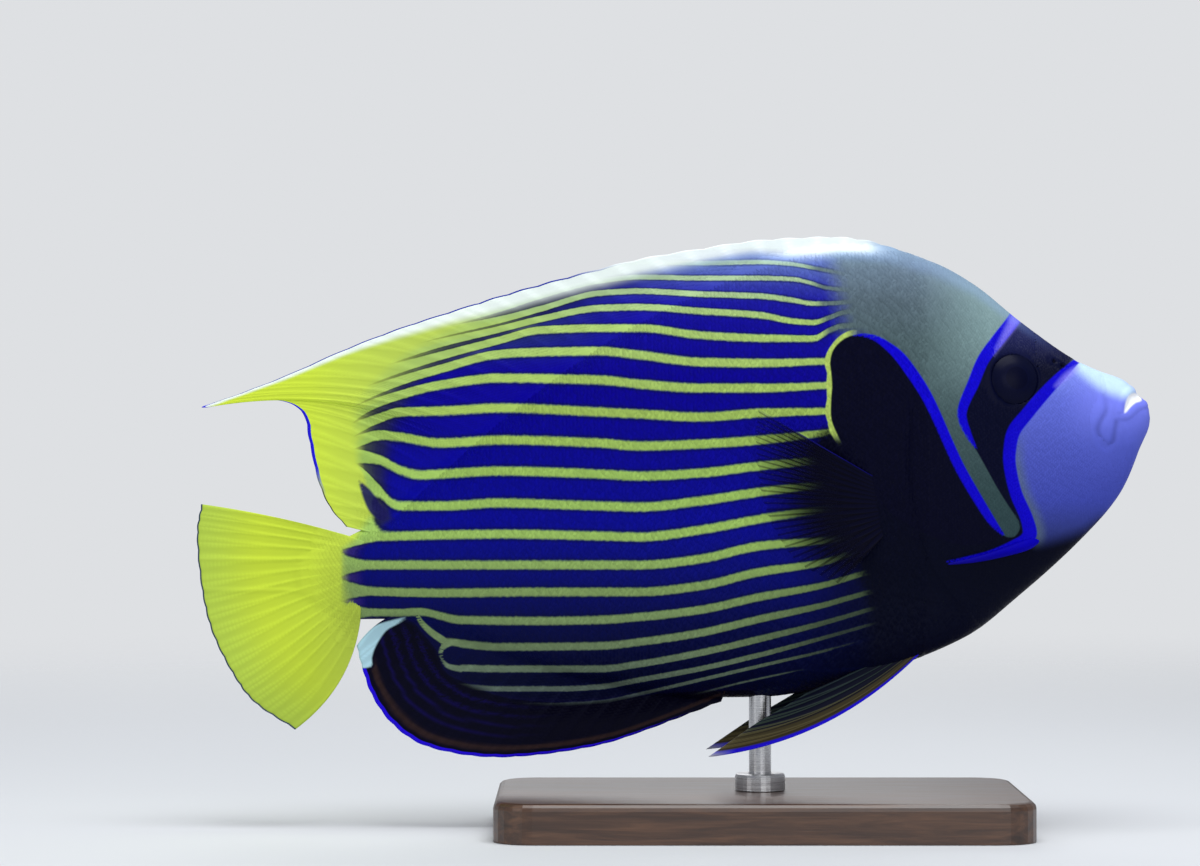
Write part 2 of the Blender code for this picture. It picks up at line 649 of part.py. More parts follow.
def make_stand(parts, flesh_with_gap):
    """A flat base, a rod up to the belly and a collar at its foot."""

    def board(bm):
        made = bmesh.ops.create_cube(bm, size=1.0)["verts"]
        bmesh.ops.scale(bm, vec=(BASE_LENGTH, BASE_DEPTH, BASE_HEIGHT), verts=made)
        bmesh.ops.translate(bm, vec=(0.0, 0.0, BASE_HEIGHT / 2), verts=made)
        uprights = [e for e in bm.edges if abs(e.verts[0].co.z - e.verts[1].co.z) > 1.0]
        bmesh.ops.bevel(bm, geom=uprights, offset=BASE_CORNER, segments=6, profile=0.5, affect="EDGES")
        rim = [e for e in bm.edges if min(v.co.z for v in e.verts) > BASE_HEIGHT - 0.01]
        bmesh.ops.bevel(bm, geom=rim, offset=BASE_BEVEL, segments=3, profile=0.5, affect="EDGES")

    def cylinder(bm, radius, low, high):
        bmesh.ops.create_cone(bm, cap_ends=True, segments=32, radius1=radius, radius2=radius, depth=high - low)
        bmesh.ops.translate(bm, vec=(0.0, 0.0, (low + high) / 2), verts=bm.verts)

    add_object("stand_base", mesh_from("stand_base", board), "walnut", parts)
    rod_mesh = mesh_from("stand_rod", lambda bm: cylinder(bm, ROD_RADIUS, BASE_HEIGHT + GAP, ROD_TOP))
    rod = add_object("stand_rod", rod_mesh, "steel", parts)
    boolean(rod, "DIFFERENCE", flesh_with_gap)

    def ring(bm):
        cylinder(bm, COLLAR_RADIUS, BASE_HEIGHT + GAP, BASE_HEIGHT + GAP + COLLAR_HEIGHT)
        top = [e for e in bm.edges if min(v.co.z for v in e.verts) > BASE_HEIGHT + COLLAR_HEIGHT]
        bmesh.ops.bevel(bm, geom=top, offset=1.2, segments=2, profile=0.5, affect="EDGES")

    collar = add_object("stand_collar", mesh_from("stand_collar", ring), "steel", parts)
    bore = helper("bore", mesh_from("bore", lambda bm: cylinder(bm, ROD_RADIUS + GAP, 0.0, ROD_TOP)))
    boolean(collar, "DIFFERENCE", bore)
    remove(bore)


def clear_scene():
    for thing in list(bpy.data.objects):
        bpy.data.objects.remove(thing)


def main():
    clear_scene()
    scene = bpy.context.scene.collection
    parts = bpy.data.collections.new("emperor_angelfish")
    cutters = bpy.data.collections.new("cutters")
    for collection in (parts, cutters):
        scene.children.link(collection)
    head = make_flesh(parts)
    make_mouth_and_cheeks(head)
    make_eyes(parts)
    flesh_with_gap = make_fins(parts)
    make_stand(parts, flesh_with_gap)
    remove(flesh_with_gap)
    for thing in parts.objects:
        thing.data.shade_smooth()
        thing.data.set_sharp_from_angle(angle=math.radians(50))


main()
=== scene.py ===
import math

import bmesh
import bpy
import numpy as np
from mathutils import Matrix, Vector


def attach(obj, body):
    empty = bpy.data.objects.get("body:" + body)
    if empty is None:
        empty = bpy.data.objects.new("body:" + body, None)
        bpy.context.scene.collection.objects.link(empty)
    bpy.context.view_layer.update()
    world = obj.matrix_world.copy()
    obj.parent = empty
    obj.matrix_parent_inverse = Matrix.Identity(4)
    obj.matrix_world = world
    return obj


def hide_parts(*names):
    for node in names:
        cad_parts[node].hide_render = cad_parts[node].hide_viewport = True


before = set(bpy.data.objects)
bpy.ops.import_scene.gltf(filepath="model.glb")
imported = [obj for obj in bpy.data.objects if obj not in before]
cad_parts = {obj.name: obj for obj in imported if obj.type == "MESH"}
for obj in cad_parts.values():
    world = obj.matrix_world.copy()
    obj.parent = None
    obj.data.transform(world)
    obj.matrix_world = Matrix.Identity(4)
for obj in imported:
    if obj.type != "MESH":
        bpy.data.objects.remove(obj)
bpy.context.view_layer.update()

# Emperor angelfish on its stand. Lengths are in millimetres until a mesh is made.
MM = 0.001
COAT = 0.25  # how far the skin lies inside the solids' surface, where the scales are
THIN_COAT, THIN_COAT_OVER = 0.15, (60, 110)  # how much less that is on the head, and from where to where
PX = 0.36  # the pattern is drawn in side view in units of this many millimetres
PATTERN_CENTRE = (600.0, 433.0)  # where the pattern's middle lies, in its own units
VIEW_MIDDLE = (-57.6, 142.6)  # the same place on the fish
VIEW_DISTANCE = 1440.0
ORIGIN_X, ORIGIN_Y = 760, 829  # where the fish's own origin falls in the pattern
PAINT_REACH, RELIEF_REACH = 30.0, 8.0  # how far from a shape its field is worked out
STROKE_PIECES, REGION_PIECES = 5, 3  # straight pieces between two points of a stroke and of a region's border
SIDES = ((-1, "right"), (1, "left"))
# How fine the meshes are: points round half the skin, places up the flank, and steps from ray to ray of the fins
SKIN_TURNS, FLANK_SHARES, STEPS_PER_RAY, PAIRED_STEPS_PER_RAY = 126, 160, 8, 12

# Outline of the flesh in side view, as (x, z) from the snout back to the tail fin's root
BACK = [
    (140.4, 148), (139.8, 151.8), (138, 154.8), (135.2, 157.2), (132.8, 160.6), (128, 163), (123.1, 164.6),
    (114.1, 168.6), (94, 182.5), (77, 196.2), (62.3, 204.3), (43.9, 209.4), (21.6, 209), (0, 203.8), (-43.2, 185.2),
    (-86.4, 156), (-118.8, 128), (-137.5, 110.9), (-145.8, 106.8), (-152, 103.5), (-158, 101.2), (-166, 97),
]
BELLY = [
    (140.4, 148), (140.1, 145.2), (138.2, 140.4), (136.1, 135.9), (133.9, 129.6), (129.2, 120.2), (116.6, 105.5),
    (93.6, 84.4), (73.8, 69), (43.2, 57), (0, 47.5), (-21.6, 47.3), (-64.8, 54.4), (-108, 68), (-126, 75.5),
    (-145.8, 75.3), (-152, 77.5), (-158, 80.5), (-166, 86),
]
HALF_WIDTH = [
    (140.4, 0), (139.6, 3.2), (138, 5.2), (135, 7.2), (130, 8.9), (124, 10.4), (114, 12.8), (92, 17.8), (70, 21.8),
    (45, 24.6), (22, 25), (0, 24), (-40, 20.6), (-80, 15.4), (-115, 10.2), (-140, 7.2), (-152, 3.6), (-158, 2.3),
    (-166, 0.4),
]
BACK_EDGE = [(140.4, 0.9), (90, 0.85), (60, 1), (20, 1.25), (-152, 1.2)]
BELLY_EDGE = [(140.4, 0.8), (60, 0.8), (-20, 0.95), (-152, 1.1)]
GILL_EDGE = [
    (57, 222), (56, 170), (53.6, 156), (52, 142), (51.8, 128), (54.4, 112), (59.5, 96), (68, 84), (79, 72), (88, 58),
]
GILL_SWELL, GILL_SWELL_FROM, GILL_SWELL_TO = 0.9, 94.0, 58.0
GILL_GROOVE, FOLD_DEPTH, MASK_TROUGH = 0.2, 0.42, 0.28
GILL_SHARP_BELOW = (172, 158)  # the cover's edge is soft above this and sharp below
EASING, PLAIN_SNOUT = 2.0, 139.0  # how far the outline's bends are eased, behind this x
EYE_X, EYE_Z = 90.2, 161.9
EYE_RADIUS, EYE_DEPTH, EYE_SUNK = 10.4, 5.8, 3.5
ORBIT_RIM, ORBIT_DEPTH = 0.2, 2.6
UPPER_RIM = [(128.8, 150.3), (129.4, 153.2), (130.6, 156), (132.4, 158), (135, 158.6)]
LOWER_RIM = [(129.4, 148.6), (131.6, 149), (133.6, 150.7), (135.4, 152.1), (138.2, 153)]
# The mouth's sunken wedge, also painted white as a highlight where the top of the lower lip catches the light
MOUTH = [
    (129.6, 149.5), (130, 152.8), (131.1, 155.5), (132.7, 157), (135, 157.4), (136.9, 156.2), (137.5, 154.6),
    (136.6, 153.6), (134.6, 153), (132.7, 151.5), (130.9, 149.6),
]
MOUTH_DEPTH, LIP_PROUD = 0.7, 0.5
UPPER_LIP_RADIUS, LOWER_LIP_RADIUS = 2.4, 3.0
LIP_FOLD = [
    (122.6, 162.6), (123.2, 155.4), (123.4, 150.4), (121.6, 147), (120.4, 143.4), (121.8, 139.8), (123.9, 137.8),
    (125.8, 139.4), (126.6, 143), (127.2, 146.4),
]
NOSTRILS = [(105, 168.3), (108.1, 166.6)]
NOSTRIL_RIM, NOSTRIL_PIT = 0.25, 1.1
CHEEK_SPINE = [(99, 104.6, 1.2), (94, 102.6, 2), (84, 99.6, 1.5), (75, 97.5, 0.95), (66, 96.1, 0.3)]
CHEEK_SPINE_LIFT = [-1.4, 0, 1, 1.7, 2.2]

# Scales: their pitch along the body and their spacing up it, as (x, length)
SCALE_PITCH = [
    (140, 1), (112, 1.35), (75, 2), (40, 2.6), (-60, 2.5), (-120, 2.1), (-160, 1.5),
]
SCALE_SPACING = [
    (140, 0.8), (112, 1.1), (75, 1.6), (40, 2.05), (-60, 2), (-120, 1.7), (-160, 1.3),
]
SCALES_FROM, HEAD_SCALES_TO, SCALES_TO = 134.0, 60.0, -158.0
# A scale's own shape: how far back each row lies at mid width, and how high, as shares of its pitch and lift
SCALE_ROWS = [(0, -0.5), (0.55, 0.25), (1.22, 1), (1.26, -0.6)]
SMALL_SCALE_ROWS = [(0, -0.5), (1.2, 1), (1.25, -0.6)]
SNOUT_FLAT = 14  # scales lie flatter this near to the lips
HEAD_PLAIN, HEAD_PLAIN_OVER = 0.7, (55, 95)  # how much less the scales' tones differ on the head, and where
FIN_SCALE_SPACING = 1.45
BAKE_PATCH = (0.003, 2.6e-3)  # how long and wide a scale's patch of the bake map is
# Scales are painted darker at the front, where each lies in the shade of the one before it, and lighter at the
# raised rear rim: painted shade and light
PLAIN_BORDER = 0.57  # the border value at which a scale shows the paint as it is
LIPS, LIPS_REACH = [(138.0, 152.0, 12.0), (128.0, 148.0, 10.0)], 40.0  # no scales grow here
EYE_CLEAR, NOSTRIL_CLEAR, FIN_CLEAR = 10.6, 2.0, 2.6
DORSAL_FROM, ANAL_FROM, CAUDAL_FROM, BY_FIN = 40, -14, -140, 12  # where fins are, and how near counts as by one

# Fins: guide rays front to back as (root x, tip x, tip z, bow), the anal fin's without the bow and the tail's
# as (root x, root z, tip x, tip z, bow)
DORSAL = [
    (58, 57.4, 205.4, 0), (43, 43.2, 210.9, 0), (29, 29.5, 213.2, 0), (14.4, 13.7, 213, 0), (1, -3.6, 211.8, 0),
    (-13, -23.4, 208.8, 0), (-26, -43.2, 205.4, 0), (-38, -61.9, 200.8, 0), (-49, -79.2, 196.2, 0),
    (-59, -95.4, 191.5, -0.5), (-68.5, -112.3, 186.1, -1), (-77, -130.3, 180.2, -2), (-85, -149.4, 172.8, -3.5),
    (-92, -171, 163.2, -5), (-97.5, -189, 156.2, -7), (-101.5, -201, 151.8, -8), (-105.5, -184, 154, -6.5),
    (-110, -171.5, 154, -4.5), (-114.5, -164.5, 149.4, -2.5), (-120.5, -162.4, 140, -1), (-126.5, -159.5, 126.7, 0),
    (-132.5, -155.2, 116.3, 0), (-138.4, -149, 108.9, 0),
]
ANAL = [
    (-12, -14, 45.9), (-20, -27.4, 40.7), (-29, -41, 35.6), (-38, -54.7, 31), (-47, -68.4, 28.2), (-57, -82.4, 26.4),
    (-67, -96.1, 25.8), (-78, -109.8, 27.2), (-89, -123.1, 31), (-99, -133.2, 38.6), (-108, -139.9, 48.4),
    (-117, -143.3, 58.2), (-125, -145.2, 66),
]
ROOT_SINK = 4.0
FIN_SINK, BLEND = 3.0, 3.0  # how much deeper a fin's root goes, and over what width it blends with the flesh
CAUDAL = [
    (-144, 104.3, -201.2, 117, -1.2), (-145.5, 100.3, -202.8, 106, 0), (-146.5, 95.4, -201.1, 86.8, 0),
    (-146.8, 90.4, -197.3, 70.9, 0.5), (-146.5, 85.6, -189.6, 55.4, 1.5), (-145.3, 81.2, -181.6, 45.2, 3),
    (-143.6, 78, -167.4, 35.8, 5.5),
]
DORSAL_SPINES, DORSAL_RAYS = 15, 20
# Spines and rays, the share of the fin that is spiny, and half thickness at the root and of a ray
UPRIGHT_FINS = {
    "dorsal": (DORSAL_SPINES + DORSAL_RAYS, DORSAL_SPINES / (DORSAL_SPINES + DORSAL_RAYS), 2.6, 1.2),
    "anal": (22, 0.12, 2.6, 1.1),
    "caudal": (17, -1.0, 3.0, 1.2),
}
# The scales on a fin: spiny share, first and last place along it, share of its height, seed, tones and slot.
# The tones are those that the scales share with the fin: per ridge, for all, and towards its lower end.
FIN_SCALES = {
    "dorsal": (0.41, 0.02, 0.99, 0.62, 11, (1.4, 0.0, 0.0), "flank_skin"),
    "anal": (0.12, 0.04, 0.98, 0.66, 13, (2.2, -0.8, 0.0), "navy_fin"),
    "caudal": (-1.0, 0.02, 0.98, 0.3, 17, (1.5, -1.0, -2.2), "yellow_skin"),
}
EDGE_HALF, MEMBRANE_HALF = 0.42, 0.25
ARC_SPACING = 4.6  # between the blue arcs along the anal fin's edge
TAIL_PLAIN_FROM = 604  # below this the tail fin carries no lines
PECTORAL_RAYS, PECTORAL_FLARE, PECTORAL_HALVES = 17, 17.0, (1.5, 0.75)
PECTORAL_ROOT_TOP, PECTORAL_ROOT_LOW = (43.8, 124.5), (46.2, 110.0)
PECTORAL_TIPS = [
    (-2.6, 151.3), (-3.6, 142), (-3, 131), (-1, 119.2), (4, 107), (12, 96.6), (27, 88.8),
]
PELVIC_RAYS, PELVIC_HALVES = 6, (2.0, 0.9)
PELVIC_ROOT_FRONT, PELVIC_ROOT_BACK = (60.5, 67.5), (49.0, 63.8)
PELVIC_TIPS = [(-19, 27.4), (-12.8, 31.7), (-6.6, 36), (-1, 39.8), (7.2, 44.5), (16.6, 50.2)]
PELVIC_ROOT_SPREAD, PELVIC_TIP_SPREAD = 5.0, 17.0
PELVIC_SAG = (3.4, 0.0, -7.6)

# Yellow lines of the flank, top to bottom, as (x, y) down the pattern, then each one's half width
LINES = [
    [(360, 330), (440, 313), (500, 297), (540, 283), (600, 268), (640, 262), (700, 263), (760, 262), (792, 264),
     (814, 268), (862, 277)],
    [(360, 342), (440, 323), (500, 308), (540, 296), (600, 281), (640, 277), (700, 278), (760, 278), (792, 279),
     (808, 282), (828, 288), (862, 291)],
    [(360, 354), (400, 343), (440, 333), (500, 320), (540, 309), (600, 293), (640, 291), (700, 294), (760, 296),
     (792, 300), (814, 303.5), (835, 303), (862, 300)],
    [(360, 367), (400, 354), (440, 343), (500, 329), (540, 319), (600, 308), (640, 307), (700, 311), (760, 315),
     (792, 321), (814, 322.5), (828, 318), (845, 312), (862, 310)],
    [(360, 380), (400, 368), (440, 356), (500, 340), (540, 330), (600, 328), (640, 328), (700, 335), (760, 338),
     (814, 338.5), (828, 331), (842, 326), (862, 325)],
    [(345, 404), (360, 397), (400, 381), (440, 369), (500, 354), (540, 352), (600, 351), (640, 355), (700, 362),
     (760, 363), (835, 361)],
    [(345, 422), (360, 410), (400, 395), (440, 385), (500, 378), (600, 380), (640, 384), (700, 388), (760, 388),
     (835, 385)],
    [(345, 436), (360, 427), (380, 418), (400, 412), (440, 411), (500, 408), (600, 412), (640, 414), (700, 417),
     (760, 413), (835, 411)],
    [(345, 446), (360, 440), (380, 435), (400, 437), (440, 443), (500, 440), (600, 443), (640, 446), (700, 444),
     (760, 440), (850, 430)],
    [(345, 455), (360, 456), (380, 460), (400, 470), (420, 475), (440, 474), (500, 471), (600, 474), (640, 476),
     (700, 473), (760, 466), (850, 458)],
    [(345, 466), (360, 474), (380, 491), (390, 502), (400, 506), (440, 506), (500, 503), (600, 506), (640, 507),
     (700, 501), (760, 492), (850, 482)],
    [(335, 538), (400, 536), (500, 534), (600, 536), (640, 537), (700, 530), (760, 519), (860, 504)],
    [(335, 565), (540, 565), (640, 565), (700, 559), (760, 546), (820, 541), (860, 536)],
    [(335, 590), (440, 593), (540, 592), (640, 592), (700, 586), (760, 572), (820, 563), (860, 550)],
    [(335, 612), (400, 613), (420, 612), (440, 616), (460, 620), (540, 621), (600, 620), (640, 617), (700, 610),
     (760, 597), (820, 586), (865, 573)],
    [(440, 641), (500, 647), (600, 646), (640, 642), (700, 633), (760, 619), (820, 606), (870, 592)],
    [(455, 668), (500, 669), (600, 669), (640, 664), (700, 653), (760, 639), (820, 624), (875, 608)],
    [(440, 680), (460, 686), (500, 689), (560, 689), (600, 687), (640, 680), (700, 669), (760, 655), (820, 639),
     (880, 622)],
    [(480, 703), (540, 705), (600, 702), (640, 694), (700, 680), (760, 666), (820, 652), (880, 635)],
    [(500, 718), (560, 717), (620, 710), (680, 698), (740, 683), (800, 670)],
]
LINE_HALF = [2.2, 2.4, 2.8, 3.2, 3.8, 4.3, 4.4, 4.4, 4.4, 4.4, 4.4, 4.3, 4.3, 4.2, 4, 3.8, 3.4, 2.6, 1.7, 0.9]
LINE_REAR = [-50] * 15 + [440, 456, 440, 466, 492]  # where each line dies out towards the tail
LINE_FADE = [8] * 17 + [26] * 3
LINE_FRONT = [2000] * 16 + [930, 885, 850, 800]
# Where the blue between each line and the next closes towards the tail, and over what length
GAP_END = [455, 440, 408, 380, 360, 346, 348, 347, 350, 353, 370, 331, 333, 336, 345, 345, 345, 345, 345]
GAP_TAPER = [240, 240, 220, 190, 150, 100, 80, 66, 54, 44, 30, 38, 38, 38, 25, 25, 25, 25, 25]
TAIL_CLOSES = (352, 338)  # here it closes in any case
CLOSED_HALF = 0.56  # half width of a line, as a share of the spacing, where the blue is closed
LOWER_LINES = 10.5  # lines after this one widen earlier as the blue closes
LINE_THINS, LINE_THINS_OVER = 0.35, (740, 870)  # by what share the lines thin towards the shoulder, and where
# Short yellow strokes that aren't lines of the set, as (x, y, half width)
STROKES = [
    [(417, 614, 1.6), (421, 622, 2.4), (431, 632, 3.2), (444, 641, 3.6)],
    [(450, 643, 3.2), (443, 647, 2.4), (440.5, 653, 1.9), (443, 661, 1.9), (449, 666.5, 2.4), (461, 669, 3.2)],
]
# The dark wedge between the dorsal fin's last yellow stroke and the line above it
DARK_WEDGE = [(382, 515, 6), (375, 508, 6.6), (370, 499, 6), (364.5, 489.5, 3.8), (359, 481, 0.5)]
# Painted highlights, pale lavender, where the two front blue lines meet the brow and the snout
PALE_SPOTS = [
    [(1016, 318, 5), (1008, 331, 3.2), (1000, 344, 1.6), (993, 355, 0.3)],
    [(1077, 368, 1.5), (1067, 376, 2.6), (1056, 386, 0.8)],
]
SNOUT_SHINE = [(1082, 366, 4), (1100, 376, 7.5), (1116, 384, 8), (1130, 392, 4)]
# Painted highlight along the fish's top edge, where the light from above falls: its width along the crest
CREST_WIDTH = [
    (230, 4), (300, 7), (360, 10), (400, 14), (450, 18), (500, 24), (550, 25), (650, 27), (700, 29), (750, 31),
    (800, 38), (860, 27), (940, 22), (1010, 14),
]
# How much of the painted highlight's width stays white before it fades
CREST_HOLD = [(230, 0.35), (560, 0.35), (650, 0.3), (700, 0.2), (750, 0.12), (800, 0.25), (1010, 0.25)]
CREST_FADES = [(0.8, 850, 905), (1, 1000, 1060)]  # what share of it fades over the nape and the brow, from and to
# Bright blue lines of the head, as (x, y, half width)
SHOULDER_LINE = [
    (853, 336, 0.4), (862, 335, 1.6), (875, 338, 2.8), (887, 345.5, 4), (899.5, 356.5, 5.3), (912, 373, 5.7),
    (925, 393, 5.5), (936, 415, 5.2), (947, 440, 5), (960, 468, 5), (976, 496, 4.8), (991, 520, 4), (1003, 535, 1.5),
]
MASK_REAR_LINE = [
    (1024, 305, 6.5), (1012, 322, 6.5), (997, 341, 6.5), (983, 360, 6), (973, 384, 5.8), (964, 404, 5),
    (962, 417, 4.5), (968, 434, 3.4), (976, 449, 1.2),
]
MASK_FRONT_LINE = [
    (1080, 358, 2.5), (1060, 377, 5), (1043, 395, 6), (1027, 414, 6.3), (1014, 431, 6.6), (1010, 449, 6.4),
    (1010, 466, 6.2), (1016, 493, 6.2), (1027, 519, 6.4), (1029, 537, 7), (1012, 546, 5), (990, 554, 3.5),
    (965, 559, 2), (946, 562, 0.8),
]
# Borders that two regions share: the shoulder line's and the front one of the mask
SHOULDER_BORDER = [
    (878, 341), (894, 353), (908, 371), (922, 392), (935, 415), (947, 440), (960, 468), (976, 496), (991, 520),
]
MASK_BORDER = [(1060, 377), (1043, 395), (1027, 414), (1014, 431), (1010, 449), (1010, 466)]
PATCH = [(841, 341), (850, 336), (862, 335)] + SHOULDER_BORDER + [
    (1003, 536), (960, 545), (900, 520), (860, 480), (846, 452), (836, 432), (831, 418), (831, 400), (832, 386),
    (831, 372), (830, 362), (833, 350),
]
GOLD_RIM_X, GOLD_RIM_Y = (858, 846), (444, 430)  # the patch has its gold rim behind and above these
# The dark breast; its upper front corner reaches back over the flank as the pectoral fin's painted shadow
BREAST_AND_FIN_SHADOW = [
    (836, 431), (822, 431), (812, 442), (814, 470), (830, 496), (848, 522), (855, 560), (866, 592), (880, 622),
    (886, 642), (876, 668), (850, 690), (820, 760), (1000, 760), (1160, 560), (1128, 500), (1100, 518), (1086, 530),
    (1060, 540), (1036, 545), (1010, 545), (960, 530), (900, 480),
]
NAPE = [(830, 215), (834, 262), (839, 285), (843, 305), (847, 322), (850, 332), (862, 334)] + SHOULDER_BORDER + [
    (1003, 535), (1014, 537), (1020, 528), (1018, 518), (1008, 504), (997, 487), (986, 467), (977, 451), (967, 434),
    (960, 416), (963, 402), (973, 380), (984, 358), (998, 338), (1014, 318), (1022, 304), (1000, 260), (920, 205),
]
MASK = [(1024, 300), (1060, 330), (1084, 354), (1080, 361)] + MASK_BORDER + [
    (1015, 493), (1022, 515), (1021, 530), (1017, 519), (1008, 505), (997, 487), (986, 467), (977, 451), (967, 434),
    (962, 417), (965, 402), (974, 382), (984, 360), (998, 340), (1013, 320),
]
FACE = [
    (1092, 352), (1170, 372), (1175, 430), (1155, 480), (1128, 502), (1100, 518), (1086, 530), (1060, 540),
    (1036, 545), (1029, 533), (1026, 519), (1016, 493),
] + MASK_BORDER[::-1] + [(1077, 364)]
# Painted highlight on the anal fin's upper rear corner, where the light from above catches its edge
ANAL_HIGHLIGHT = [
    (408, 617), (392, 620), (374, 626), (360, 637), (354, 650), (352, 667), (371, 667), (372, 658), (376, 646),
    (386, 631), (398, 624),
]
ANAL_DARK = [
    (408, 619), (424, 634), (438, 652), (446, 672), (470, 684), (510, 698), (580, 702), (650, 694), (730, 690),
    (760, 700), (760, 790), (330, 790), (330, 640), (372, 622),
]

BRIGHT_BLUE = (11, 0, 198)
SOFT_SHINE = 0.05  # the low specular level of the wet fish under soft light

FLOOR_FADE = (1.5, 0.35)  # how far out the floor is gone, and how far it is whole, in metres
# Lamps as (name, place, aim, size, power, colour)
LIGHTS = [
    ("top_light", (0.1, -0.25, 1.2), (-0.03, 0.0, 0.14), (0.9, 0.7), 12.0, (0.97, 0.99, 1.0)),
    ("front_light", (0.5, -1.6, 0.6), (-0.03, 0.0, 0.12), (1.2, 0.9), 8.0, (1.0, 1.0, 1.0)),
    ("side_light", (-1.3, -1.1, 0.5), (-0.05, 0.0, 0.12), (0.9, 0.9), 3.0, (1.0, 1.0, 1.0)),
    ("rear_light", (-0.3, 1.5, 0.9), (-0.03, 0.0, 0.12), (1.2, 0.9), 8.0, (1.0, 1.0, 1.0)),
]


def srgb(red, green, blue):
    """A colour as it looks on screen, 0 to 255, turned to the linear values that shaders take."""
    values = [v / 255 for v in (red, green, blue)]
    return tuple(v / 12.92 if v <= 0.04045 else ((v + 0.055) / 1.055) ** 2.4 for v in values) + (1.0,)


# ---- curves and fields ----

def profile(points):
    """A smooth function of x through (x, value) points, with no overshoot between them."""
    xs, ys = np.array(sorted(points), float).T
    steps = np.diff(ys) / np.diff(xs)
    before, after = steps[:-1], steps[1:]
    total = np.where(before + after == 0, 1.0, before + after)
    inner = np.where(before * after > 0, 2 * before * after / total, 0.0)
    slopes = np.concatenate([steps[:1], inner, steps[-1:]])

    def value(x):
        x = np.clip(x, xs[0], xs[-1])
        i = np.clip(np.searchsorted(xs, x, side="right") - 1, 0, len(xs) - 2)
        width = xs[i + 1] - xs[i]
        t = (x - xs[i]) / width
        return (
            (1 + 2 * t) * (1 - t) ** 2 * ys[i] + t * (1 - t) ** 2 * width * slopes[i]
            + t * t * (3 - 2 * t) * ys[i + 1] + t * t * (t - 1) * width * slopes[i + 1]
        )

    return value


def curve_through(points):
    """A smooth curve through points, as a function of an array t from 0 at the first to 1 at the last."""
    points = np.array(points, float)
    padded = np.concatenate([2 * points[:1] - points[1:2], points, 2 * points[-1:] - points[-2:-1]])

    def place(t):
        at = np.clip(np.asarray(t, float), 0.0, 1.0) * (len(points) - 1)
        i = np.minimum(at.astype(int), len(points) - 2)
        f = (at - i)[..., None]
        a, b, c, d = padded[i], padded[i + 1], padded[i + 2], padded[i + 3]
        return 0.5 * (2 * b + (c - a) * f + (2 * a - 5 * b + 4 * c - d) * f * f + (3 * b - a - 3 * c + d) * f ** 3)

    return place


def smooth_step(value, start, end):
    """0 before start, 1 after end and smooth between. Start may be the greater."""
    t = np.clip((value - start) / (end - start), 0.0, 1.0)
    return t * t * (3 - 2 * t)


def hump(away, width, power=2):
    """1 at no distance, falling to nothing over a width."""
    return np.exp(-(away / width) ** power)


def within(x, y, line, reach):
    """Places that lie near enough to a line to matter."""
    return (
        (x > line[:, 0].min() - reach) & (x < line[:, 0].max() + reach)
        & (y > line[:, 1].min() - reach) & (y < line[:, 1].max() + reach)
    )


def to_segment(px, py, a, b):
    """For each place, the share of the way from a to b of the segment's nearest point, and how far off it is."""
    dx, dy = b[0] - a[0], b[1] - a[1]
    t = np.clip(((px - a[0]) * dx + (py - a[1]) * dy) / (dx * dx + dy * dy + 1e-9), 0.0, 1.0)
    return t, np.hypot(px - a[0] - t * dx, py - a[1] - t * dy)


def stroke_field(x, y, stroke, reach=PAINT_REACH):
    """How far inside a stroke of changing half width each place lies, negative outside it."""
    line = curve_through(stroke)(np.linspace(0, 1, (len(stroke) - 1) * STROKE_PIECES + 1))
    near = within(x, y, line, reach)
    px, py = x[near], y[near]
    best = np.full(px.shape, -reach)
    for a, b in zip(line[:-1], line[1:]):
        t, away = to_segment(px, py, a, b)
        best = np.maximum(best, a[2] + (b[2] - a[2]) * t - away)
    found = np.full(x.shape, -reach)
    found[near] = best
    return found


def region_field(x, y, ring, reach=PAINT_REACH):
    """Signed distance into a region with a smooth border, positive inside, cut off at reach."""
    closed = ring[-1:] + ring + ring[:2]
    count = (len(closed) - 1) * REGION_PIECES + 1
    line = curve_through(closed)(np.linspace(0, 1, count))[REGION_PIECES:-REGION_PIECES]
    near = within(x, y, line, reach)
    px, py = x[near], y[near]
    best = np.full(px.shape, reach)
    inside = np.zeros(px.shape, bool)
    for a, b in zip(line[:-1], line[1:]):
        best = np.minimum(best, to_segment(px, py, a, b)[1])
        if b[1] != a[1]:
            crossing = a[0] + (py - a[1]) * (b[0] - a[0]) / (b[1] - a[1])
            inside ^= ((a[1] > py) != (b[1] > py)) & (px < crossing)
    found = np.full(x.shape, -reach)
    found[near] = np.where(inside, best, -best)
    return found


def away_from(x, z, line):
    """How far places in side view lie from a thin line, up to the reach of the head's relief."""
    return -stroke_field(x, z, [(a, b, 0.0) for a, b in line], RELIEF_REACH)


def softened(points):
    """A profile with its bends eased, except at the snout's very tip."""
    value = profile(points)
    step, count = 0.25, 16
    xs = np.arange(-175.0, 150.0, step)
    weights = hump(np.arange(-count, count + 1) * step, EASING)
    plain = value(xs)
    eased = np.convolve(np.pad(plain, count, mode="edge"), weights / weights.sum(), mode="valid")
    eased = plain + (eased - plain) * smooth_step(xs, PLAIN_SNOUT, PLAIN_SNOUT - 6.0)
    return lambda x: np.where(np.asarray(x) > PLAIN_SNOUT, value(x), np.interp(x, xs, eased))


back_z, belly_z, half_width = softened(BACK), softened(BELLY), softened(HALF_WIDTH)
back_edge, belly_edge = profile(BACK_EDGE), profile(BELLY_EDGE)
line_heights = [profile(line) for line in LINES]
crest_width, crest_hold = profile(CREST_WIDTH), profile(CREST_HOLD)
scale_pitch, scale_spacing = profile(SCALE_PITCH), profile(SCALE_SPACING)
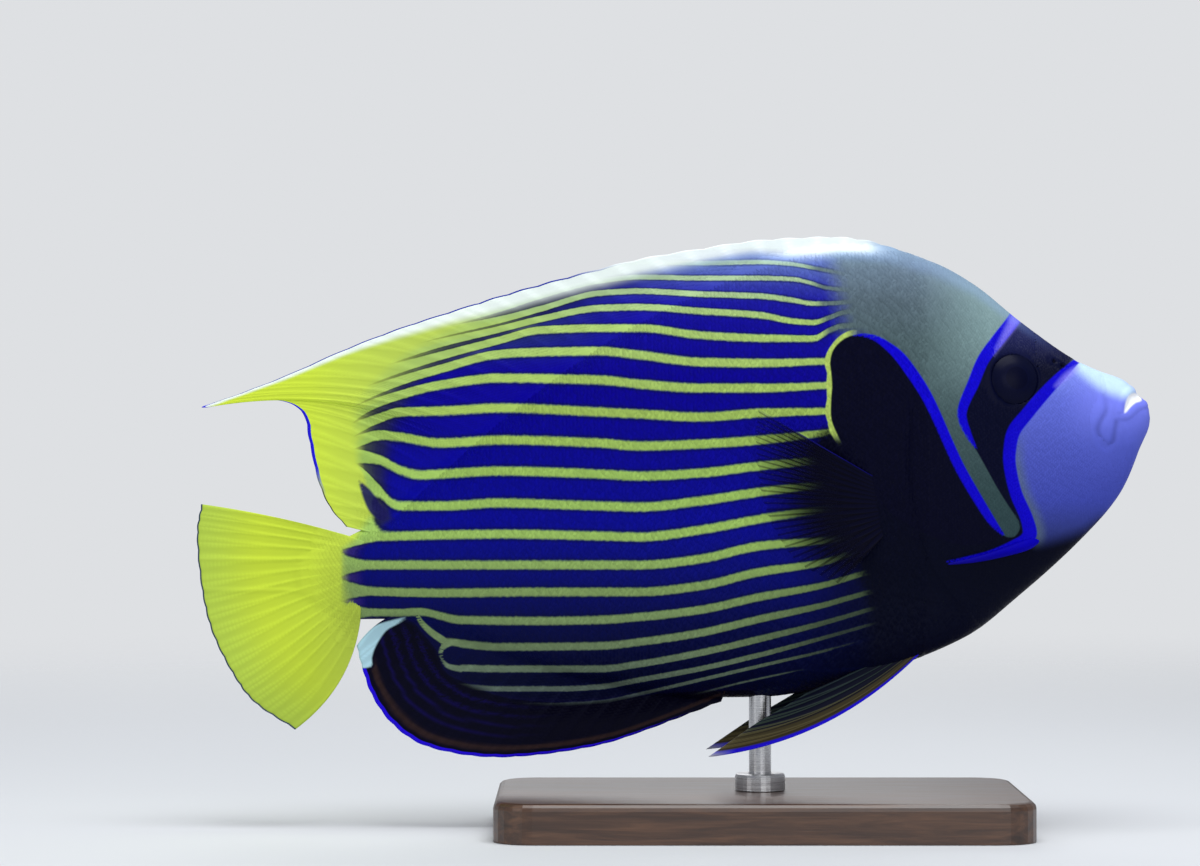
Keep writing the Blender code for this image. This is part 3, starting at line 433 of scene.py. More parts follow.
# The fish's upper edge in the pattern's units, along the dorsal fin and then the back
CREST_LINE = np.array(sorted(
    (ORIGIN_X + x / PX, ORIGIN_Y - z / PX) for x, z in [fin_tip[1:3] for fin_tip in DORSAL[1:16]] + BACK[:11]))
SNOUT_X, TAIL_X = BACK[0][0], BACK[-1][0]


def middle_and_reach(x):
    """Height of the flesh's middle line and half its height."""
    return (back_z(x) + belly_z(x)) / 2, (back_z(x) - belly_z(x)) / 2


def gill_swell(x):
    return GILL_SWELL * smooth_step(x, GILL_SWELL_FROM, GILL_SWELL_TO)


def flank_width(x, z, swell=False):
    """Half width of the flesh at places in side view."""
    middle, reach = middle_and_reach(x)
    rise = np.clip((z - middle) / np.maximum(reach, 1e-6), -0.999, 0.999)
    edge = np.where(rise > 0, back_edge(x), belly_edge(x))
    wide = half_width(x) + gill_swell(x) if swell else half_width(x)
    return wide * np.sqrt(1 - rise * rise) ** edge


def flank_normal(x, z, side):
    """The way the flank faces at one place."""
    step = 0.5
    along = (flank_width(x + step, z, True) - flank_width(x - step, z, True)) / (2 * step)
    up = (flank_width(x, z + step, True) - flank_width(x, z - step, True)) / (2 * step)
    normal = np.array([-float(along), side, -float(up)])
    return normal / np.linalg.norm(normal)


def pattern_place(points):
    """Where points of the fish fall on its pattern, which is drawn in side view."""
    near = VIEW_DISTANCE / (VIEW_DISTANCE - np.abs(points[:, 1]))
    x = PATTERN_CENTRE[0] + (points[:, 0] - VIEW_MIDDLE[0]) * near / PX
    y = PATTERN_CENTRE[1] - (points[:, 2] - VIEW_MIDDLE[1]) * near / PX
    return x, y


def line_fields(x, y):
    """Which of the flank's yellow lines is near, counted with a fraction between lines, and how wide it is there."""
    heights = np.stack([line(x) for line in line_heights], axis=1)
    below = np.clip((y[:, None] >= heights).sum(axis=1) - 1, 0, len(LINES) - 2)
    pick = np.arange(len(x))
    low, high = heights[pick, below], heights[pick, below + 1]
    spacing = np.maximum(high - low, 3.0)
    line = below + np.clip((y - low) / spacing, -0.9, 1.9)
    widths = np.stack([
        half * ((1 - LINE_THINS * smooth_step(x, *LINE_THINS_OVER)) * smooth_step(x, front + 30, front - 30))
        * smooth_step(x, rear - 4, rear + fading)
        for half, rear, front, fading in zip(LINE_HALF, LINE_REAR, LINE_FRONT, LINE_FADE)
    ], axis=1)
    share = np.clip(line - below, 0, 1)
    half = (widths[pick, below] * (1 - share) + widths[pick, below + 1] * share) / spacing
    gaps = np.arange(len(GAP_END)) + 0.5
    end, taper = np.interp(line, gaps, GAP_END), np.interp(line, gaps, GAP_TAPER)
    closing = np.clip(1 - (x - end) / taper, 0.0, 1.0)
    closing = np.maximum(closing, smooth_step(x, *TAIL_CLOSES))
    half = half + (CLOSED_HALF - half) * closing ** np.where(line > LOWER_LINES, 1.6, 4.0)
    return line, half, closing


def pattern_fields(points):
    """The smooth fields that the fish's paint is drawn from, for points in millimetres."""
    x, y = pattern_place(points)
    line, half, closing = line_fields(x, y)
    crest = np.interp(x, *CREST_LINE.T)
    width = crest_width(x)
    # The painted highlight along the top edge, where the light from above falls
    pale = (1 - smooth_step(y - crest, crest_hold(x) * width, width)) ** 1.5
    for share, start, end in CREST_FADES:
        pale = pale * (1 - share * smooth_step(x, start, end))
    fields = {
        "ahead": x, "down": y, "line": line, "half": half, "dull": closing, "pale": pale,
        "rim": smooth_step(x, *GOLD_RIM_X) * smooth_step(y, *GOLD_RIM_Y),
        "shine": smooth_step(stroke_field(x, y, SNOUT_SHINE), -10.0, 4.0),
        "stroke": np.max([stroke_field(x, y, stroke) for stroke in STROKES], axis=0),
        "spots": np.max([stroke_field(x, y, spot) for spot in PALE_SPOTS], axis=0),
    }
    for name, stroke in (
            ("shoulder", SHOULDER_LINE), ("mask_rear", MASK_REAR_LINE), ("mask_front", MASK_FRONT_LINE),
            ("wedge", DARK_WEDGE)):
        fields[name] = stroke_field(x, y, stroke)
    for name, ring in (
            ("patch", PATCH), ("breast", BREAST_AND_FIN_SHADOW), ("nape", NAPE), ("mask", MASK), ("face", FACE),
            ("anal_dark", ANAL_DARK), ("anal_pale", ANAL_HIGHLIGHT)):
        fields[name] = region_field(x, y, ring)
    fields["anal_dark"] = np.minimum(fields["anal_dark"], x - TAIL_CLOSES[0])
    return fields


# ---- making meshes ----

def grid_faces(rows, columns, around=False, flip=False, start=0):
    """Quads of a grid of vertices, row by row."""
    reach = columns if around else columns - 1
    r, c = np.meshgrid(np.arange(rows - 1), np.arange(reach), indexing="ij")
    d = (c + 1) % columns
    quads = np.stack([r * columns + c, r * columns + d, (r + 1) * columns + d, (r + 1) * columns + c], axis=-1)
    quads = quads.reshape(-1, 4) + start
    return quads[:, ::-1] if flip else quads


def closed_tube(rings, first, last):
    """Points and faces of a tube through rings of points, drawn to a point at each end."""
    rows, columns = rings.shape[:2]
    points = np.concatenate([rings.reshape(-1, 3), [first, last]])
    faces = [tuple(quad) for quad in grid_faces(rows, columns, around=True)]
    tip, end_ring = rows * columns, (rows - 1) * columns
    for c in range(columns):
        d = (c + 1) % columns
        faces += [(tip, d, c), (tip + 1, end_ring + c, end_ring + d)]
    return points, faces


def add_mesh(name, points, faces, material):
    """A piece at the origin from points in millimetres."""
    mesh = bpy.data.meshes.new(name)
    mesh.from_pydata((np.asarray(points) * MM).tolist(), [], [list(face) for face in faces])
    mesh.polygons.foreach_set("use_smooth", np.full(len(mesh.polygons), True))
    mesh.update()
    piece = bpy.data.objects.new(name, mesh)
    bpy.context.scene.collection.objects.link(piece)
    mesh.materials.append(material)
    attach(piece, "root")
    return piece


def add_fields(piece, fields):
    for name, values in fields.items():
        layer = piece.data.attributes.new(name, "FLOAT", "POINT")
        layer.data.foreach_set("value", np.asarray(values, np.float32))


def fix_outward(piece):
    """Turns a closed piece's faces outwards."""
    shape = bmesh.new()
    shape.from_mesh(piece.data)
    bmesh.ops.recalc_face_normals(shape, faces=shape.faces)
    shape.to_mesh(piece.data)
    shape.free()


def grid_normals(grid):
    """Normals of a grid of points, from the differences along its rows and columns."""
    along, across = np.gradient(grid, axis=0), np.gradient(grid, axis=1)
    normals = np.cross(along, across)
    return normals / np.maximum(np.linalg.norm(normals, axis=2, keepdims=True), 1e-9)


# ---- the skin ----

def skin_stations():
    """Places along x from the snout back: fine over the head, wider along the trunk."""
    tip = [0.03, 0.1, 0.2, 0.35, 0.55, 0.8, 1.1, 1.45, 1.85]
    head = list(np.arange(2.3, 87.0, 0.46))
    trunk = list(np.arange(87.5, SNOUT_X - TAIL_X, 1.25))
    return SNOUT_X - np.array(tip + head + trunk + [SNOUT_X - TAIL_X])


def relief(x, z, wide):
    """How far the skin stands out from the plain form, over places in side view."""
    raised = np.full(x.shape, -COAT) + THIN_COAT * smooth_step(x, *THIN_COAT_OVER)
    edge_line = curve_through(GILL_EDGE)(np.linspace(0, 1, 60))
    ahead = x - np.interp(z, edge_line[::-1, 1], edge_line[::-1, 0])
    low = smooth_step(z, *GILL_SHARP_BELOW)
    raised += wide * gill_swell(x) * (low * smooth_step(ahead, -0.9, 0.7) + (1 - low) * smooth_step(x, 50, 80))
    raised -= wide * GILL_GROOVE * low * hump(ahead + 1.0, 0.7)
    for spot in NOSTRILS:
        away = np.hypot(x - spot[0], z - spot[1])
        raised += NOSTRIL_RIM * hump(away - 1.25, 0.4) - NOSTRIL_PIT * hump(away, 0.75, 4)
    raised -= FOLD_DEPTH * hump(away_from(x, z, LIP_FOLD), 1.1)
    raised -= MOUTH_DEPTH * smooth_step(region_field(x, z, MOUTH, RELIEF_REACH), -0.1, 0.8)
    for rim, radius in ((UPPER_RIM, UPPER_LIP_RADIUS), (LOWER_RIM, LOWER_LIP_RADIUS)):
        away = away_from(x, z, rim)
        roll = np.sqrt(np.maximum(radius * radius - away * away, 0.0)) - (radius - LIP_PROUD)
        raised = np.where(away < radius, np.maximum(raised, roll - 0.1), raised)
    trough = [(PX * (u - ORIGIN_X), PX * (ORIGIN_Y - v)) for u, v, _ in MASK_FRONT_LINE[:10]]
    return raised - MASK_TROUGH * hump(away_from(x, z, trough), 1.1)


def half_skin():
    """The right half of the skin as a grid from belly to back."""
    xs = skin_stations()
    turns = np.linspace(-math.pi / 2, math.pi / 2, SKIN_TURNS)
    x = np.repeat(xs[:, None], len(turns), axis=1)
    middle, reach = middle_and_reach(x)
    edge = np.where(np.sin(turns)[None] > 0, back_edge(x), belly_edge(x))
    spread = np.maximum(np.cos(turns)[None], 0.0) ** edge
    spread[:, 0] = spread[:, -1] = 0.0
    grid = np.stack([x, -np.maximum(half_width(x), 0.02) * spread, middle + reach * np.sin(turns)[None]], axis=-1)
    normals = grid_normals(grid)
    normals *= np.sign(-(normals[..., 1:2]) + 1e-9)
    normals[:, 0] = normals[:, -1] = 0.0
    normals[:, 0, 2], normals[:, -1, 2] = -1.0, 1.0
    raised = relief(x, grid[..., 2], np.abs(normals[..., 1]))
    facing = flank_normal(EYE_X, EYE_Z, -1)
    offset = grid - (eye_centre(-1) + facing * EYE_SUNK)
    deep = offset @ facing
    away = np.linalg.norm(offset - deep[..., None] * facing, axis=-1)
    socket = ORBIT_RIM * hump(away - 9.6, 1.1) - ORBIT_DEPTH * smooth_step(away, 8.9, 7.9)
    raised = np.where(np.abs(deep) < 8, raised + socket, raised)
    grid = grid + normals * raised[..., None]
    grid[:, 0, 1] = grid[:, -1, 1] = 0.0
    return xs, grid


def eye_centre(side):
    facing = flank_normal(EYE_X, EYE_Z, side)
    place = np.array([EYE_X, side * float(flank_width(np.array(EYE_X), np.array(EYE_Z), True)), EYE_Z])
    return place - facing * EYE_SUNK


def recess_shade_field(x, z):
    """Painted shade, dark in the nostrils and the folds."""
    pits = [hump(np.hypot(x - spot[0], z - spot[1]), 0.8, 4) for spot in NOSTRILS]
    return np.maximum(np.max(pits, axis=0), 0.28 * hump(away_from(x, z, LIP_FOLD), 0.9) * smooth_step(z, 160, 148))


def make_skin(material):
    """The closed skin from its right half. Returns that half, which the scales lie on."""
    xs, right = half_skin()
    left = right[:, ::-1].copy()
    left[..., 1] *= -1
    rings = np.concatenate([right, left[:, 1:-1]], axis=1)
    points, faces = closed_tube(rings, [SNOUT_X, 0, BACK[0][1]], rings[-1].mean(axis=0))
    skin = add_mesh("skin", points, faces, material)
    x, z = points[:, 0], points[:, 2]
    add_fields(skin, {
        **pattern_fields(points), "mouth": region_field(x, z, MOUTH, RELIEF_REACH), "recess_shade": recess_shade_field(x, z),
    })
    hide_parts("head", "trunk", "tail_stock")
    return xs, right


# ---- scales ----

class Flank:
    """The right side of the skin as a surface of x and the way up from its middle line, in millimetres."""

    def __init__(self, xs, grid):
        self.xs = xs[::-1]
        grid = grid[::-1]
        steps = np.linalg.norm(np.diff(grid, axis=1), axis=2)
        length = np.concatenate([np.zeros((len(xs), 1)), np.cumsum(steps, axis=1)], axis=1)
        middle = grid.shape[1] // 2
        up = length - length[:, middle:middle + 1]
        self.low, self.high = up[:, 0], up[:, -1]
        self.shares = np.linspace(0, 1, FLANK_SHARES)
        self.table = np.empty((len(xs), len(self.shares), 3))
        for i in range(len(xs)):
            at = self.low[i] + (self.high[i] - self.low[i]) * self.shares
            for k in range(3):
                self.table[i, :, k] = np.interp(at, up[i], grid[i, :, k])
        normals = grid_normals(self.table)
        self.normals = normals * np.sign(-(normals[..., 1:2]) + 1e-9)

    def limits(self, x):
        return np.interp(x, self.xs, self.low), np.interp(x, self.xs, self.high)

    def place(self, x, up):
        """Points and normals at the given x and way up."""
        low, high = self.limits(x)
        share = np.clip((up - low) / np.maximum(high - low, 1e-6), 0, 1) * (len(self.shares) - 1)
        i = np.clip(np.searchsorted(self.xs, x) - 1, 0, len(self.xs) - 2)
        f = np.clip((x - self.xs[i]) / (self.xs[i + 1] - self.xs[i]), 0, 1)[..., None]
        j = np.minimum(share.astype(int), len(self.shares) - 2)
        g = (share - j)[..., None]

        def blend(table):
            return (
                (table[i, j] * (1 - g) + table[i, j + 1] * g) * (1 - f)
                + (table[i + 1, j] * (1 - g) + table[i + 1, j + 1] * g) * f
            )

        normals = blend(self.normals)
        return blend(self.table), normals / np.maximum(np.linalg.norm(normals, axis=-1, keepdims=True), 1e-9)


class Scales:
    """Many scales of one shape, joined into one piece for each side."""

    def __init__(self, count, rows, columns):
        across = np.linspace(-1, 1, columns)
        self.count, self.rows, self.columns, self.each = count, len(rows), columns, len(rows) * columns
        self.back = np.array([[b * (1 - 0.34 * abs(a) ** 2.2 * (b > 0.4)) for a in across] for b, _ in rows]).ravel()
        self.wide = np.array([[0.56 * a for a in across] for _ in rows]).ravel()
        self.high = np.array([[h - 0.25 * a * a * (h > 0) for a in across] for _, h in rows]).ravel()
        self.border = np.tile(np.clip(self.back / max(self.back), 0, 1), count)

    def add(self, name, points, flip, fields, u, v, slot, material):
        """One side's piece, with a small patch of the bake map for each scale, about the given places."""
        one = grid_faces(self.rows, self.columns, flip=flip)
        faces = (one[None] + (np.arange(self.count) * self.each)[:, None, None]).reshape(-1, 4)
        piece = add_mesh(name, points, faces, material)
        add_fields(piece, fields)
        u = (u + (self.back / max(self.back) - 0.5)[None] * BAKE_PATCH[0]).ravel()
        v = (v + self.wide[None] * BAKE_PATCH[1]).ravel()
        layer = piece.data.uv_layers.new(name="OFBake")
        corners = np.empty(len(piece.data.loops), np.int32)
        piece.data.loops.foreach_get("vertex_index", corners)
        layer.data.foreach_set("uv", np.stack([u[corners], v[corners]], axis=1).astype(np.float32).ravel())


def clear_of_features(x, y, z):
    """Places where scales grow: not on the eye, the lips, the nostrils or under a fin."""
    clear = np.hypot(x - EYE_X, z - EYE_Z) > EYE_CLEAR
    clear &= stroke_field(x, z, LIPS, LIPS_REACH) < 0
    clear &= np.min([np.hypot(x - a, z - b) for a, b in NOSTRILS], axis=0) > NOSTRIL_CLEAR
    by_fin = ((x < DORSAL_FROM) & (z > back_z(x) - BY_FIN)) | ((x < ANAL_FROM) & (z < belly_z(x) + BY_FIN))
    return clear & (~(by_fin | (x < CAUDAL_FROM)) | (np.abs(y) > FIN_CLEAR))


def flank_places(flank, columns, chance):
    """Places of scales in rows along the body, every other column set half a row up: x, way up and spacing."""
    places = []
    for k, x in enumerate(columns):
        low, high = flank.limits(x)
        step = float(scale_spacing(np.array(x)))
        ups = (np.arange(math.ceil(low / step), math.floor(high / step) + 1) + (0.5 if k % 2 else 0.0)) * step
        ups = ups[(ups > low + 0.3) & (ups < high - 0.3)]
        places.append(np.stack([np.full(len(ups), x), ups, np.full(len(ups), step)], axis=1))
    places = np.concatenate(places)
    places[:, :2] += chance.uniform(-0.06, 0.06, (len(places), 2)) * places[:, 2:]
    return places


def make_flank_scales(name, flank, columns, lift, rows, across, seed, slot, material):
    """Overlapping scales over the flesh, joined into one piece on each side."""
    chance = np.random.default_rng(seed)
    places = flank_places(flank, columns, chance)
    roots, _ = flank.place(places[:, 0], places[:, 1])
    kept = clear_of_features(*roots.T)
    places, roots = places[kept], roots[kept]
    count = len(places)
    scales = Scales(count, rows, across)
    size = scale_pitch(places[:, 0])[:, None] * chance.uniform(0.94, 1.06, (count, 1))
    x = places[:, :1] - scales.back[None] * size + 0.2 * size
    up = places[:, 1:2] + scales.wide[None] * 2 * places[:, 2:] * chance.uniform(0.95, 1.05, (count, 1))
    surface, normals = flank.place(x.ravel(), up.ravel())
    snout = -stroke_field(places[:, 0], roots[:, 2], LIPS, LIPS_REACH)
    lifts = lift * (0.15 + 0.85 * smooth_step(snout, 0, SNOUT_FLAT))
    height = (scales.high[None] * lifts[:, None] * chance.uniform(0.8, 1.2, (count, 1))).ravel()
    points = surface + normals * height[:, None]
    plain = 1 - HEAD_PLAIN * smooth_step(places[:, 0], *HEAD_PLAIN_OVER)
    tone = np.repeat(chance.uniform(-1, 1, count) * plain, scales.each)
    border = scales.border * np.repeat(plain, scales.each)
    u = 0.03 + (SNOUT_X - places[:, :1]) / 330.0
    v = 0.25 + places[:, 1:2] / 430.0
    for side, word in SIDES:
        mine = points.copy()
        mine[:, 1] = side * np.abs(mine[:, 1])
        fields = {**pattern_fields(mine), "tone": tone, "border": border}
        scales.add(f"{name}_{word}", mine, side < 0, fields, u, v + (0.5 if side > 0 else 0.0), slot, material)


# ---- fins ----

def between_rays(t, rays):
    """0 on a ray to 1 halfway to the next."""
    at = t * (rays - 1)
    return 1 - np.abs(2 * (at - np.floor(at)) - 1)


def even_ridges(t, out, rays):
    """Ray ridges that split once, early, and then spread evenly."""
    at = t * (rays - 1)
    away = at - np.round(at)
    split = 0.25 * smooth_step(out, 0.12, 0.6)
    width = 0.12 - 0.03 * out
    return np.maximum(hump(away - split, width), hump(away + split, width))


def ray_ridges(t, out, rays, spiny_share, branching=0.42):
    """Ray ridges over a fin, 0 on the membrane to 1 on a ray, soft rays branching outwards."""
    at = t * (rays - 1)
    away = at - np.round(at)
    spiny = t < spiny_share
    split = np.where(spiny, 0.0, 0.21 * smooth_step(out, branching, 1.0))
    split_again = np.where(spiny, 0.0, 0.085 * smooth_step(out, 0.68, 1.0))
    width = np.where(spiny, 0.15, 0.13 - 0.05 * out)
    return np.max([hump(away - a * split - b * split_again, width) for a in (-1, 1) for b in (-1, 1)], axis=0)


def fin_halves(out, ridge, root_half, ray_half):
    """Half thickness of a fin: membrane, rays on it and the fleshy root."""
    out = np.clip(out, 0.0, 1.0)
    plain = np.maximum(MEMBRANE_HALF, 0.55 * (ray_half * (1 - out) + EDGE_HALF * out))
    tall = EDGE_HALF + (ray_half - EDGE_HALF) * (1 - out)
    ridge = ridge * smooth_step(out, 0.04, 0.4) * (1 - 0.5 * smooth_step(out, 0.45, 0.9))
    half = plain + (np.maximum(tall, plain) - plain) * ridge + (root_half - ray_half) * (1 - out) ** 6
    return half * (1 - 0.55 * smooth_step(out, 0.985, 1.0))


def smooth_most(a, b, reach):
    """The greater of two fields, rounded where they meet."""
    share = np.maximum(reach - np.abs(a - b), 0.0) / reach
    return np.maximum(a, b) + share * share * reach / 4


def flesh_under(x, z):
    """Half width of the flesh under a fin, falling below zero beyond its outline."""
    middle, reach = middle_and_reach(x)
    beyond = np.abs(z - middle) - reach
    return np.where((beyond > 0) | (x < TAIL_X), -1.5 * np.abs(beyond) - 0.3, flank_width(x, z) - 0.3)


def fin_guides(kind):
    """Root, tip and bow of each guide ray of a fin in the middle plane."""
    if kind == "dorsal":
        return [(x, float(back_z(np.array(x))) - ROOT_SINK, *rest) for x, *rest in DORSAL]
    if kind == "anal":
        bows = [0.0] * (len(ANAL) - 1) + [-2.5]
        return [
            (x, float(belly_z(np.array(x))) + ROOT_SINK, *tip, bow) for (x, *tip), bow in zip(ANAL, bows)
        ]
    return CAUDAL


class UprightFin:
    """A fin in the middle plane as a surface of t, front to back, and out, root to edge."""

    def __init__(self, kind, rays, spiny_share, root_half, ray_half):
        guides = fin_guides(kind)
        self.root = curve_through([guide[:2] for guide in guides])
        self.tip = curve_through([guide[2:4] for guide in guides])
        self.bow = curve_through([guide[4:] for guide in guides])
        self.kind, self.rays, self.spiny_share = kind, rays, spiny_share
        self.root_half, self.ray_half = root_half, ray_half

    def place(self, t, out):
        """Points in side view and the rays' lengths."""
        root = self.root(t)
        reach = self.tip(t) - root
        length = np.maximum(np.linalg.norm(reach, axis=-1, keepdims=True), 1e-6)
        across = np.stack([-reach[..., 1], reach[..., 0]], axis=-1) / length * self.bow(t)
        out = np.asarray(out)[..., None]
        return root + reach * out + across * 4 * out * (1 - out), length[..., 0]

    def halves(self, place, out, ridge):
        """Half thickness of the fin, blended with the flesh it grows from."""
        fin = fin_halves(out, ridge, self.root_half, self.ray_half)
        return smooth_most(fin, flesh_under(place[..., 0], place[..., 1]), BLEND)

    def fields(self, points, t, edge):
        """Pattern fields of the fin's surface, with what is drawn along its own edge."""
        fields = pattern_fields(points)
        if self.kind == "anal":
            wave = np.sin(edge * 2 * math.pi / ARC_SPACING)
            arc = smooth_step(wave, 0.5, 0.95) * smooth_step(edge, 6.5, 9.0) * smooth_step(t, 0.4, 0.66)
            fields["arc"] = arc * smooth_step(fields["anal_dark"], 2.0, 10.0)
            fields["brown"] = smooth_step(edge, 2.8, 3.8) * smooth_step(edge, 6.2, 4.8) * smooth_step(
                fields["anal_pale"], -1.0, -4.0)
        if self.kind == "caudal":
            fields["half"] = np.where(fields["down"] > TAIL_PLAIN_FROM, CLOSED_HALF, fields["half"])
            fields["anal_dark"] = fields["anal_pale"] = np.full(len(points), -PAINT_REACH)
        return fields


def plate(points, normals, halves):
    """Points and faces of a closed plate about a grid of middle points."""
    rows, columns = points.shape[:2]
    front = (points + normals * halves[..., None]).reshape(-1, 3)
    rear = (points - normals * halves[..., None]).reshape(-1, 3)
    size = rows * columns
    faces = [grid_faces(rows, columns), grid_faces(rows, columns, flip=True, start=size)]
    border = [(0, c) for c in range(columns)] + [(r, columns - 1) for r in range(1, rows)]
    border += [(rows - 1, c) for c in range(columns - 2, -1, -1)] + [(r, 0) for r in range(rows - 2, 0, -1)]
    loop = np.array([r * columns + c for r, c in border])
    after = np.roll(loop, -1)
    faces.append(np.stack([after, loop, loop + size, after + size], axis=1))
    return np.concatenate([front, rear]), np.concatenate(faces)


def fin_grid(columns, rows, power=1.0):
    """Even steps of t down the rows of a grid and of out along them."""
    t, out = np.meshgrid(np.linspace(0, 1, columns), np.linspace(0, 1, rows) ** power)
    return t.T, out.T


def add_fin(name, middle, facing, halves, t, out, length, ridge, material, pattern=None):
    """A fin's piece from the grid of its middle surface, with the fields that its paint is drawn from."""
    points, faces = plate(middle, np.broadcast_to(facing, middle.shape), halves)
    piece = add_mesh(name, points, faces, material)
    fix_outward(piece)
    own = {"ridge": ridge, "edge": (1 - out) * length, "across": t, "out": out, "along": out * length}
    own = {field: np.tile(values.ravel(), 2) for field, values in own.items()}
    add_fields(piece, {**(pattern(points, own["across"], own["edge"]) if pattern else {}), **own})
    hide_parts(name)


def make_upright_fin(name, fin, rows, material):
    """A fin of the middle plane, its rays raised and its edge notched between them."""
    t, share = fin_grid((fin.rays - 1) * STEPS_PER_RAY + 1, rows, 0.9)
    out = share - (1 - share) * FIN_SINK / fin.place(t, share)[1]
    ridge = ray_ridges(t, out, fin.rays, fin.spiny_share)
    place, length = fin.place(t, out)
    notch = np.where(t < fin.spiny_share, 0.5, 0.3) * between_rays(t, fin.rays) ** 1.5 * smooth_step(out, 0.8, 1.0)
    outward = place - fin.root(t)
    outward /= np.maximum(np.linalg.norm(outward, axis=-1, keepdims=True), 1e-6)
    place = place - outward * np.minimum(notch, 0.12 * length)[..., None]
    middle = np.stack([place[..., 0], np.zeros(place.shape[:2]), place[..., 1]], axis=-1)
    add_fin(
        name, middle, (0.0, 1.0, 0.0), fin.halves(place, out, ridge), t, out, length, ridge, material, fin.fields)


def make_pectoral(side, word, material):
    """A fan of branching rays that stands off the flank."""
    t, out = fin_grid((PECTORAL_RAYS - 1) * PAIRED_STEPS_PER_RAY + 1, 40)
    root_x = PECTORAL_ROOT_TOP[0] + (PECTORAL_ROOT_LOW[0] - PECTORAL_ROOT_TOP[0]) * t
    root_z = PECTORAL_ROOT_TOP[1] + (PECTORAL_ROOT_LOW[1] - PECTORAL_ROOT_TOP[1]) * t
    tips = curve_through(PECTORAL_TIPS)(t)
    reach_x, reach_z = tips[..., 0] - root_x, tips[..., 1] - root_z
    length = np.hypot(reach_x, reach_z)
    flare = math.radians(PECTORAL_FLARE)
    out_cut = out * (1 - 0.03 * between_rays(t, PECTORAL_RAYS) * smooth_step(out, 0.7, 1.0))
    outward = length * math.tan(flare) + 3.0 * np.sin(math.pi * t)
    y = side * (flank_width(root_x, root_z) - 2.5 + outward * out_cut)
    middle = np.stack([root_x + reach_x * out_cut, y, root_z + reach_z * out_cut], axis=-1)
    ridge = even_ridges(t, out, PECTORAL_RAYS)
    halves = fin_halves(out, ridge, *PECTORAL_HALVES) * (1 - 0.4 * smooth_step(out, 0.0, 0.6))
    facing = (math.sin(flare), side * math.cos(flare), 0.0)
    add_fin(f"pectoral_fin_{word}", middle, facing, halves, t, out, length, ridge, material)


def make_pelvic(side, word, material):
    """A long fin that sweeps back and down from the breast, its front rays longest."""
    t, out = fin_grid((PELVIC_RAYS - 1) * PAIRED_STEPS_PER_RAY + 1, 44)
    root = np.stack([
        PELVIC_ROOT_FRONT[0] + (PELVIC_ROOT_BACK[0] - PELVIC_ROOT_FRONT[0]) * t,
        np.full(t.shape, side * PELVIC_ROOT_SPREAD),
        PELVIC_ROOT_FRONT[1] + (PELVIC_ROOT_BACK[1] - PELVIC_ROOT_FRONT[1]) * t,
    ], axis=-1)
    tips = curve_through(PELVIC_TIPS)(t)
    tip = np.stack([tips[..., 0], side * (PELVIC_TIP_SPREAD - 3.0 * t), tips[..., 1]], axis=-1)
    sag = np.array(PELVIC_SAG) * ((1 - t) * 4 * out * (1 - out))[..., None]
    middle = root + (tip - root) * out[..., None] + sag
    facing = np.array([0.12, side, -0.2])
    ridge = ray_ridges(t, out, PELVIC_RAYS, 0.08, 0.3)
    add_fin(
        f"pelvic_fin_{word}", middle, facing / np.linalg.norm(facing), fin_halves(out, ridge, *PELVIC_HALVES),
        t, out, np.linalg.norm(tip - root, axis=-1), ridge, material)


def fin_places(fin, start, end, count_t, out_share, chance):
    """Places of a fin's scales in rows along its rays: t, the way out and the ray's length there."""
    places = []
    for k in range(count_t):
        t = start + (end - start) * (k + 0.5) / count_t
        length = float(fin.place(np.array([t]), np.array([0.5]))[1][0])
        first = -0.5 + (0.5 * FIN_SCALE_SPACING if k % 2 else 0.0)
        at = np.arange(first, 0.85 * (out_share * length), FIN_SCALE_SPACING)
        places.append(np.stack([np.full(len(at), t), at, np.full(len(at), length)], axis=1))
    places = np.concatenate(places)
    places[:, 1] += chance.uniform(-0.1, 0.1, len(places)) * FIN_SCALE_SPACING
    return places


